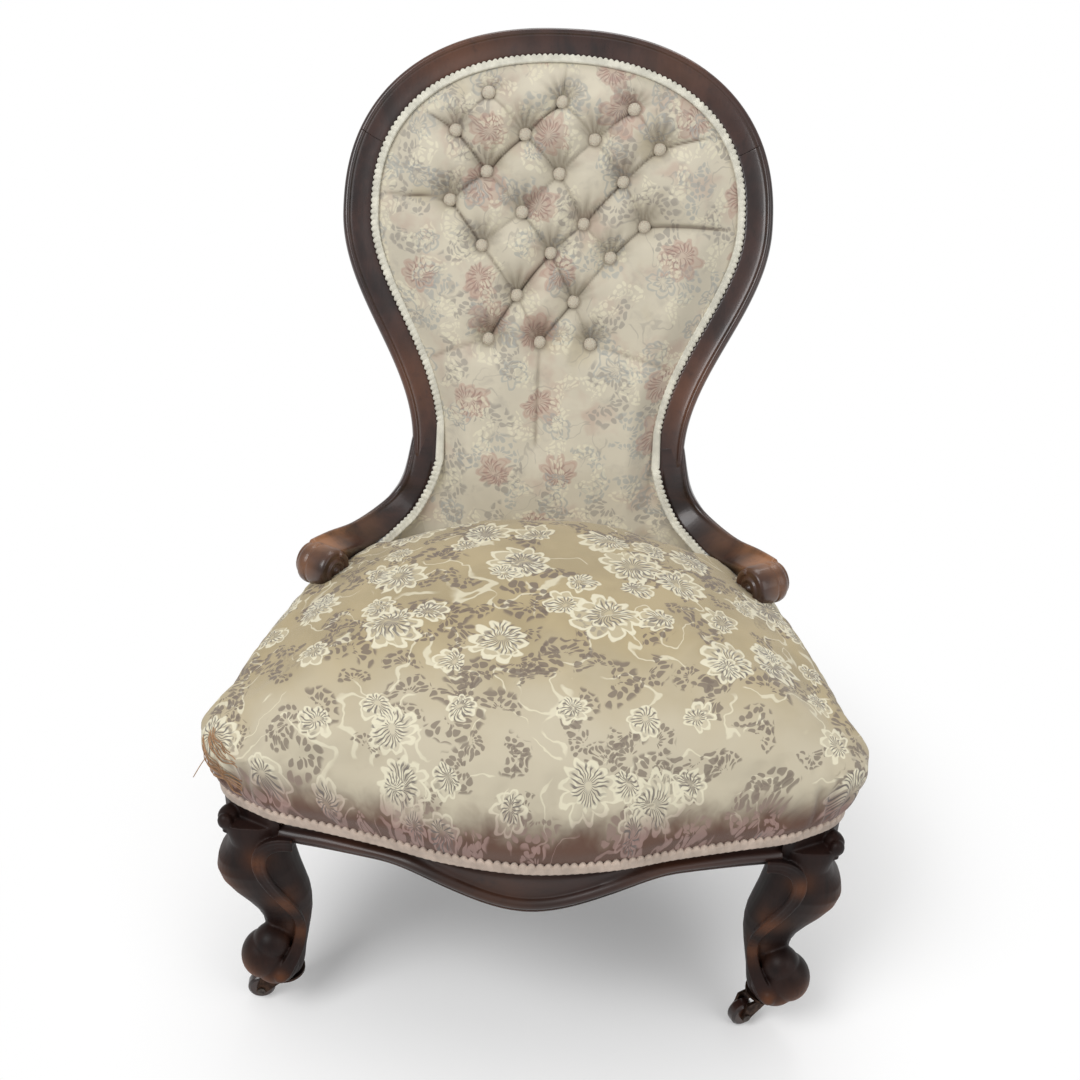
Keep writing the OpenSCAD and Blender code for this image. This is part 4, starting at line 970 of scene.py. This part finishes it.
def wall(z):
    # the pad's hidden foot, inside the rails; it stands further off the posts at the rear
    return [seatPoint(i, 0.0003 - 0.009, z, 0.009 if sideTo < i < planCount - sideTo else 0.0003)
            for i in range(0, planCount, 2)]


lineRing = [seatPoint(i, 0, lineZ(i) + 0.0002) for i in range(0, planCount, 2)]
wallLow = [Vector((p.x, p.y, q.z)) for p, q in zip(wall(0.25), lineRing)]
rings = [wall(0.2875), wallLow, lineRing] + [sideRing(out, up) for out, up in cushionLooks["shape"]] \
    + [domeRing(s, edge) for s in cushionLooks["dome"]]
cushion = loft("seatCushion", rings)
puff(cushion, cushionLooks["voxel"], cushionLooks["pressure"], cushionLooks["cap"],
     lambda p: ease((cushionLooks["freeZ"] - p.z) / cushionLooks["holdFade"]))


def seatFolds(p):
    # soft dimples and the slight puckers at the front corners
    lump = noise.noise(Vector((p.x * 9, p.y * 9, p.z * 9))) * cushionLooks["lumps"]
    corner = exp(-(((abs(p.x) - 0.29) / 0.05) ** 2) - ((p.y + middleY - 0.02) / 0.05) ** 2)
    ripple = sin(abs(p.x) * 330 + p.y * 180) * ease((0.36 - p.z) / 0.08)
    return lump + corner * cushionLooks["puckers"] * ripple


subdivide(cushion)
normals = [v.normal.copy() for v in cushion.data.vertices]
for v, normal in zip(cushion.data.vertices, normals):
    if v.co.z > cushionLooks["heldZ"]:
        v.co += normal * seatFolds(v.co) * ease((v.co.z - cushionLooks["heldZ"]) / 0.03)


def seatUv(p):
    x, y = p.x, p.y - seatMiddleY
    r = hypot(x, y) + 1e-6
    stretch = (r + 0.75 * max(0, crownZ - p.z) * ease(r / 0.2)) / r
    return (x * stretch, y * stretch)


clothUvs(cushion, seatUv)
dress(cushion, seatFabric, "chair", ["seat_cover", "seat_stuffing", "seat_hessian"])
print("seat cushion made")

# Back pad: tufted between 22 buttons, with pleats from button to button
backLooks = {
    "swell": 0.019, "padDepth": 0.015, "buttonSize": 0.0155, "buttonFlat": 0.62, "buttonOut": 0.0026,
    "holeDepth": 0.0125, "holeReach": 0.0150, "pleatDepth": 0.0120, "pleatReach": 0.0165,
    "creaseDepth": 0.0050, "fanDepth": 0.0017, "fans": 15,
    "buttons": [(-0.34, 0.865), (0, 0.853), (0.33, 0.843),
                (-0.485, 0.790), (-0.165, 0.787), (0.155, 0.781), (0.455, 0.768),
                (-0.335, 0.712), (0, 0.712), (0.295, 0.702),
                (-0.50, 0.654), (-0.165, 0.634), (0.12, 0.616), (0.40, 0.616),
                (-0.345, 0.566), (-0.025, 0.557), (0.25, 0.551),
                (-0.175, 0.470), (0.09, 0.461),
                (-0.30, 0.380), (-0.06, 0.377), (0.175, 0.377)],
    # pleats from button to button, each with how sharp it is
    "pleats": [(0, 3, 0.25), (0, 4, 0.2), (1, 4, 1.0), (1, 5, 0.3), (2, 5, 0.7), (2, 6, 0.2), (3, 7, 0.9),
               (4, 7, 0.95), (4, 8, 0.6), (5, 8, 0.35), (5, 9, 0.2), (6, 9, 0.7), (7, 10, 0.75),
               (7, 11, 0.3), (8, 11, 0.35), (8, 12, 0.4), (9, 12, 1.0), (9, 13, 0.2), (10, 14, 0.95),
               (11, 14, 0.2), (11, 15, 0.45), (12, 15, 0.45), (12, 16, 0.2), (13, 16, 0.7), (14, 17, 0.45),
               (15, 17, 1.0), (15, 18, 0.55), (16, 18, 0.4), (17, 19, 0.95), (17, 20, 0.25), (18, 20, 0.8),
               (18, 21, 0.25)],
    "toEdge": [(3, (-0.80, 0.872), 0.8), (6, (0.80, 0.812), 0.9), (10, (-0.905, 0.668), 1.0),
               (13, (0.90, 0.618), 0.95), (1, (0.02, 0.965), 0.35), (19, (-0.62, 0.33), 0.15),
               (21, (0.55, 0.33), 0.15), (20, (-0.06, 0.17), 0.25)],
}


def backPlace(share):
    return Vector((share[0] * halfBack, mix(seatTopZ, seatTopZ + backRise, share[1])))


buttons = [backPlace(s) for s in backLooks["buttons"]]
pleats = [(buttons[a], buttons[b], sharp) for a, b, sharp in backLooks["pleats"]] \
    + [(buttons[a], backPlace(b), sharp) for a, b, sharp in backLooks["toEdge"]]


def nearEdge(x, z):
    a, b = halfBack - chair["stileFace"], crestRise - chair["crestFace"]
    if z > widestZ:
        return ((abs(x) / a) ** roundPower + ((z - widestZ) / b) ** roundPower) ** (1 / roundPower)
    s = min(1, (widestZ - z) / (widestZ - waistZ))
    return abs(x) / mix(halfWaist - waistFace, a, (1 + cos(pi * s)) / 2)


def padOut(x, z, sharp=1.0, shading=None):
    e = nearEdge(x, z)
    full = ease((0.985 - e) / 0.30) * mix(0.55, 1, ease((z - seatTopZ) / 0.07))
    place = Vector((x, z))
    crease, pleat, puffed = 0.0, 0.0, 1.0
    for a, b, depth in pleats:
        run = b - a
        t = max(0.0, min(1.0, (place - a).dot(run) / run.length_squared))
        gap = place - (a + run * t)
        d = gap.length
        if d > 0.05:
            continue
        puffed = min(puffed, 1 - mix(0.45, 1, depth) * exp(-(d / backLooks["pleatReach"]) ** 1.25))
        lip = 0.0013 * exp(-((d - 0.0035) / 0.0026) ** 2) * (1 if gap.y > 0 else 0)
        if d < 0.006:
            depthHere = backLooks["creaseDepth"] * mix(0.35, 1, depth) * exp(-(d / 0.0021) ** 1.4)
            crease = min(crease, lip - depthHere)
            # pleat is painted shade along the pleat's valley, not a shape
            pleat = max(pleat, mix(0.22, 1, depth) * exp(-(d / 0.0015) ** 2))
    # dark gathers painted shade: a ring round each button's sink, and fans above each button where the cloth
    # turns away from the light
    hole, fan, dark = 0.0, 0.0, 0.0
    for b in buttons:
        gap = place - b
        d = gap.length
        if d < 0.06:
            hole = max(hole, exp(-(d / backLooks["holeReach"]) ** 2))
            if gap.y > -0.004:
                turn = atan2(gap.y, gap.x)
                upward = max(0, sin(turn)) ** 0.6
                folds = cos(turn * backLooks["fans"] + b.x * 90)
                fan += backLooks["fanDepth"] * folds * exp(-((d - 0.018) / 0.011) ** 2) * upward
                dark = max(dark, (0.62 + 0.22 * folds) * exp(-(d / 0.0245) ** 2) * upward)
            dark = max(dark, 0.6 * exp(-(max(0, d - 0.0072) / 0.0022) ** 2))
    # the shading list gets the painted shade of the pleats and of the buttons' rings and fans
    if shading is not None:
        shading.append(min(1, max(pleat * 0.95, dark)) * min(1, full * 2.5))
    rise = (edgeDepth + backLooks["swell"] + 0.004) * full
    tufted = backLooks["pleatDepth"] * (1 - puffed) + backLooks["holeDepth"] * hole
    fold = noise.noise(Vector((x * 22, z * 22, 3.7))) * 0.0011
    folded = (crease + fan) * sharp + fold
    return rise - edgeDepth - 0.0003 - full * tufted + folded * min(1, full * 1.4)


# below the waist the padding flares out along the arms' inner edges, down to the seat
flare = [(0.1290, 0.4375, 0.4480), (0.1335, 0.4300, 0.4310), (0.1410, 0.4235, 0.4130), (0.1550, 0.4110, 0.3910),
         (0.1720, 0.3920, 0.3785), (0.1930, 0.3640, 0.3660), (0.2020, 0.3500, 0.3500)]
flareLine = [p - Vector((0, middleY, 0)) for p in curveThrough(flare, 6)]


def flareAt(z):
    for a, b in zip(flareLine, flareLine[1:]):
        if b.z <= z <= a.z:
            return a.lerp(b, (a.z - z) / (a.z - b.z))
    return flareLine[0] if z > flareLine[0].z else flareLine[-1]


def padPoint(half, z, share, shading):
    # a point of a row of the padding's front; share runs from -1 to 1
    x = half * share
    p = onBack(x, z, padOut(x, z, 1.0, shading))
    if z < flareLine[0].z:
        edge = flareAt(z)
        beyond = ease((abs(x) - 0.118) / (edge.x - 0.118 + 1e-6)) if edge.x > 0.118 else 0
        plane = onBack(x, z, 0.0022 * ease((flareLine[0].z - z) / 0.02))
        forward = max(0, plane.y - edge.y) * ease((abs(x) - 0.150) / max(0.001, edge.x - 0.150))
        p = p.lerp(plane, beyond)
        p.y -= forward
    return p


padRows, padColumns = 236, 216
padBottom = flareLine[-1].z + 0.001
rearWidth = halfWaist - waistFace - 0.0003
halfWidths = []
for k in range(padRows + 1):
    share = k / padRows
    if share <= 0.86:
        s = 0.03 + 1.90 * (share / 0.86)
        p = rimPoint(s, faceWidth(s) + 0.0003, 0)
        half, z = p.x, p.z
    else:
        z = mix(rimPoint(1.93, faceWidth(1.93), 0).z, padBottom, (share - 0.86) / 0.14)
        half = rearWidth if z > flareLine[0].z else flareAt(z).x
    halfWidths.append((half, z))
shades, rowsOfPad = [], []
for half, z in halfWidths:
    front = [padPoint(half, z, 2 * j / padColumns - 1, shades) for j in range(padColumns + 1)]
    rearHalf = half if z > flareLine[0].z else rearWidth
    rear = [onBack(rearHalf * (1 - 2 * j / 12), z, -backLooks["padDepth"]) for j in range(13)]
    rowsOfPad.append(front + rear)
    shades += [0.0] * 14
pad = loft("backPad", rowsOfPad, shades=shades)


def backUv(p):
    return (p.x, p.z * 1.08 + 0.2)


clothUvs(pad, backUv)
dress(pad, backFabric, "chair", ["back_cushion", "back_webbing"])

# covered buttons: one is shaped, the rest are copies
bpy.ops.object.select_all(action="DESELECT")
bpy.ops.mesh.primitive_uv_sphere_add(segments=20, ring_count=12, radius=backLooks["buttonSize"] / 2)
button = bpy.context.object
button.data.transform(Matrix.Diagonal((1, 1, backLooks["buttonFlat"], 1)))
copies = []
for b in buttons:
    copy = button.copy()
    copy.data = button.data.copy()
    scene.collection.objects.link(copy)
    normal = backNormal(b.y)
    tip = onBack(b.x, b.y, padOut(b.x, b.y, 0) + backLooks["buttonOut"])
    copy.data.transform(Matrix.Translation(tip) @ normal.to_track_quat("Z", "Y").to_matrix().to_4x4())
    copies.append(copy)
bpy.data.objects.remove(button)
buttonSet = join("coveredButtons", copies)
only(buttonSet)
bpy.ops.object.shade_smooth()
clothUvs(buttonSet, backUv)
dress(buttonSet, backFabric, "chair", ["back_buttons"])
print("back pad made")

# Frayed threads at the seat's front left corner, lying over the cloth, and one that hangs off it
threadLooks = {"count": 20, "lowZ": 0.276, "apart": 0.0030, "climb": 0.020, "loose": 0.003, "thick": 0.00045}
dice = random.Random(7)
threads = []
for n in range(threadLooks["count"]):
    low, start = threadLooks["lowZ"] + threadLooks["apart"] * n, dice.uniform(43, 47)
    bulge = dice.uniform(0.2, 1.0) * threadLooks["loose"]
    points = []
    for k in range(9):
        t = k / 8
        q = seatPoint(int(start + 9 * t), 0.016, low + threadLooks["climb"] * t)
        found, place, normal, number = cushion.closest_point_on_mesh(Vector((-q.x, q.y, q.z)))
        points.append(place + normal * (0.0002 + bulge * sin(pi * t)))
    if n == 5:
        points += [points[-1] + Vector((-0.006, -0.002, -0.008)), points[-1] + Vector((-0.014, -0.004, -0.022))]
    line = curveThrough(points, 3)
    threads.append(loft("thread", tubeRings(line, [threadLooks["thick"]] * len(line), 6)))
frayed = join("frayedThreads", threads)
dress(frayed, frayedYarn, "chair")
print("threads made")

# Braids with scalloped edges
braidLooks = {"width": 0.0135, "thick": 0.0030, "seatPitch": 0.0078, "backPitch": 0.0062, "backWidth": 0.0095}


def evenly(points, spacing):
    # points at equal steps along a line
    out, rest = [points[0]], 0.0
    for a, b in zip(points, points[1:]):
        gap = (b - a).length
        if gap == 0:
            continue
        walk = spacing - rest
        while walk <= gap:
            out.append(a.lerp(b, walk / gap))
            walk += spacing
        rest = (rest + gap) % spacing
    return out


def scalloped(name, low, high, out, thick, pitch, deep):
    # low and high edges of the braid as matching rows of points; high carries the lobes
    rings = []
    for a, b, n, run in zip(low, high, out, runs(low)):
        lobe = abs(sin(pi * run / pitch)) ** 0.7
        small = abs(sin(pi * run / pitch + 1.0)) * 0.07
        across = (b - a) * (1 - deep * (1 - lobe))
        section = ((small, 0.05), (small + 0.02, 0.6), (0.16, 0.95), (0.34, 0.72), (0.5, 0.62 + 0.3 * lobe),
                   (0.72, 0.66 + 0.42 * lobe), (0.93, 0.5 + 0.35 * lobe), (1.0, 0.05), (0.97, 0), (0.03, 0))
        rings.append([a + across * share + n * thick * lift for share, lift in section])
    return loft(name, rings)


# the seat's braid runs from side to side along the rails' upper line
rightLine = [seatPoint(i, 0.0002, lineZ(i) - 0.0005) for i in range(sideTo + 1)]
lowLine = evenly([Vector((-p.x, p.y, p.z)) for p in rightLine[:0:-1]] + rightLine, 0.00075)
outs, highs = [], []
for i, p in enumerate(lowLine):
    way = wayAt(lowLine, i, 3)
    n = Vector((way.y, -way.x, 0)).normalized()
    outs.append(n)
    highs.append(p + Vector((0, 0, braidLooks["width"] + 0.001)) + n * 0.0012)
seatGimp = scalloped("seatGimp", lowLine, highs, outs, braidLooks["thick"], braidLooks["seatPitch"], 0.30)
dress(seatGimp, seatBraid, "chair", ["seat_gimp"])


def braidEdge(side):
    # the edges of the back's braid from the crest's middle down to the seat, and the way it faces
    rows = []
    for k in range(701):
        s = side * 1.93 * k / 700 if k else side * 1e-4
        face = faceWidth(abs(s))
        low = rimPoint(s, face + braidLooks["backWidth"] * 0.92, 0.0019 - edgeDepth)
        high = rimPoint(s, face - 0.0012, 0.0003 - edgeDepth)
        if k == 0:
            low.x = high.x = 0
        rows.append((low, high, backNormal(high.z)))
    tail = evenly(flareLine, 0.0006)
    for k, p in enumerate(tail):
        way = wayAt(tail, k, 4)
        share = ease(k / len(tail))
        face = backNormal(p.z).lerp(Vector((-0.5, -0.6, 0.6)).normalized(), share).normalized()
        face = (face - way * face.dot(way)).normalized()
        across = face.cross(way)
        rise = mix(-0.0015, 0.0026, ease(k / 16))
        low = p - across * braidLooks["backWidth"] * 0.92 + face * rise
        high = p + across * 0.0018 + face * rise
        rows.append(tuple(Vector((side * v.x, v.y, v.z)) for v in (low, high, face)))
    return rows


inner, outer, facing = zip(*(braidEdge(-1)[::-1] + braidEdge(1)[1:]))
backGimp = scalloped("backGimp", inner, outer, facing, braidLooks["thick"], braidLooks["backPitch"], 0.26)
dress(backGimp, backBraid, "chair", ["back_gimp"])
print("braids made")

# Cloth over the rear of the back, a little full, and the black cloth under the seat
liningLooks = {"rearPlay": 0.0006, "rearFull": 0.006, "rearThick": 0.0012,
               "underZ": 0.2262, "underThick": 0.001, "legPlay": 0.004}


outsideRows = []
shares = [2 * j / 40 - 1 for j in range(41)]
for k in range(61):
    if k <= 50:
        s = 0.02 + 1.98 * k / 50
        p = rimPoint(s, faceWidth(s) - 0.009, 0)
        half, z = p.x, p.z
    else:
        half, z = halfWaist - waistFace + 0.009, mix(waistZ, 0.234, (k - 50) / 10)
    full = liningLooks["rearFull"] * ease(k / 12) * ease((60 - k) / 12)
    behind = -frameDepth - liningLooks["rearPlay"]
    outsideRows.append([onBack(half * t, z, behind - full * (1 - t ** 4)) for t in shares])
outside = loft("outsideBack", outsideRows, closed=False, ends=False)
useModifier(outside, "SOLIDIFY", thickness=liningLooks["rearThick"], offset=0)
clothUvs(outside, backUv)
dress(outside, outsideFabric, "chair", ["outside_back"])

# the black cloth's corners stay clear of the front legs
cornerX, cornerY = legInX - liningLooks["legPlay"], legSideY + liningLooks["legPlay"]
lowest = liningLooks["underZ"]
underPoints = []
for i in range(0, planCount, 2):
    p = seatPoint(i, -0.030, postFootZ)
    x, y = p.x, min(p.y, backY(postFootZ) - 0.002)
    if abs(x) > cornerX and y < cornerY:
        x = cornerX if x > 0 else -cornerX
    underPoints.append(Vector((x, y, lowest)))
centre = Vector((0, seatMiddleY, lowest - 0.002))
under = loft("dustCover", [[centre.lerp(p, s) for p in underPoints] for s in (1, 0.8, 0.6, 0.4, 0.2, 0.04)])
useModifier(under, "SOLIDIFY", thickness=liningLooks["underThick"], offset=0)
dress(under, blackLinen, "chair", ["dust_cover", "seat_webbing"])
print("linings made")

# Finishes of the nodes that stay
finishes = {"stay_rail": plainWood, "side_rail_left": plainWood, "side_rail_right": plainWood,
            "rear_rail": plainWood, "frame_dowels": paleDowel,
            "seat_springs": paleSteel, "castor_screws": paleSteel}
castorLooks = {"plate": castorBrown, "fork": castorBrown, "axle": pinSteel, "wheel": wheelBrown}
for corner in ("front_left", "front_right", "rear_left", "rear_right"):
    finishes.update({"castor_" + part + "_" + corner: looks for part, looks in castorLooks.items()})
for name, material in finishes.items():
    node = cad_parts[name]
    node.data.materials.clear()
    node.data.materials.append(material)
print("nodes finished")

# Floor, light and camera
bpy.ops.object.select_all(action="DESELECT")
bpy.ops.mesh.primitive_plane_add(size=60, location=(0, 0, 0))
floorPlane = bpy.context.object
floorPlane.name = "floor"
material, tree, shader = newMaterial("paleFloor")
path = newNode(tree, "LightPath")
seen = calc("MAXIMUM", path["Is Glossy Ray"], path["Is Transmission Ray"])
seen = calc("MAXIMUM", path["Is Camera Ray"], seen)
setInputs(shader, {
    "Base Color": blend(seen, (0.62, 0.62, 0.62), (0.97, 0.97, 0.97)),
    "Roughness": 0.9, "Specular IOR Level": 0.1,
})
# away from the chair the floor is plain white to the camera, and near it the shadow stays
glow = newNode(tree, "Emission", {"Strength": 1.0})
reach = vectorCalc("LENGTH", placed(tree, location=(-0.03, -0.02, 0)))["Value"]
surface = newNode(tree, "MixShader", [seen * reach.fade(0.30, 0.66), Wire(tree, shader), glow])
setInputs(tree.nodes["Material Output"], {"Surface": surface})
floorPlane.data.materials.append(material)

world = bpy.data.worlds.new("studio")
scene.world = world
world.use_nodes = True
tree = world.node_tree
path = newNode(tree, "LightPath")
seen = calc("MAXIMUM", path["Is Camera Ray"], path["Is Transmission Ray"])
setInputs(tree.nodes["Background"], {"Strength": seen * 0.45 + 0.55, "Color": (1, 1, 1, 1)})

lamps = [("key", (-1.5, -1.7, 2.6), 1.6, 48), ("fill", (1.9, -1.5, 1.5), 1.8, 14),
         ("top", (0.2, 1.3, 2.6), 1.6, 22)]
for name, place, size, power in lamps:
    light = bpy.data.lights.new(name, "AREA")
    light.size, light.energy = size, power
    lamp = bpy.data.objects.new(name, light)
    scene.collection.objects.link(lamp)
    lamp.location = place
    lamp.rotation_euler = (Vector((0, 0, 0.45)) - Vector(place)).to_track_quat("-Z", "Y").to_euler()

camera = bpy.data.cameras.new("camera")
eye = bpy.data.objects.new("camera", camera)
scene.collection.objects.link(eye)
camera.sensor_width, camera.lens = 36, 1297.2 / 1080 * 36
camera.clip_start, camera.clip_end = 0.05, 100
pitch, yaw, roll = radians(28.497), radians(-0.471), radians(2.22)
forward = Vector((sin(yaw) * cos(pitch), cos(yaw) * cos(pitch), -sin(pitch)))
right = forward.cross(Vector((0, 0, 1))).normalized()
up = right.cross(forward)
turn = Matrix((right * cos(roll) + up * sin(roll), up * cos(roll) - right * sin(roll), -forward)).transposed()
eye.matrix_world = Matrix.Translation((0.0061, -1.2412, 1.0885)) @ turn.to_4x4()
scene.camera = eye
scene.view_settings.view_transform = "Standard"
print("stage set")
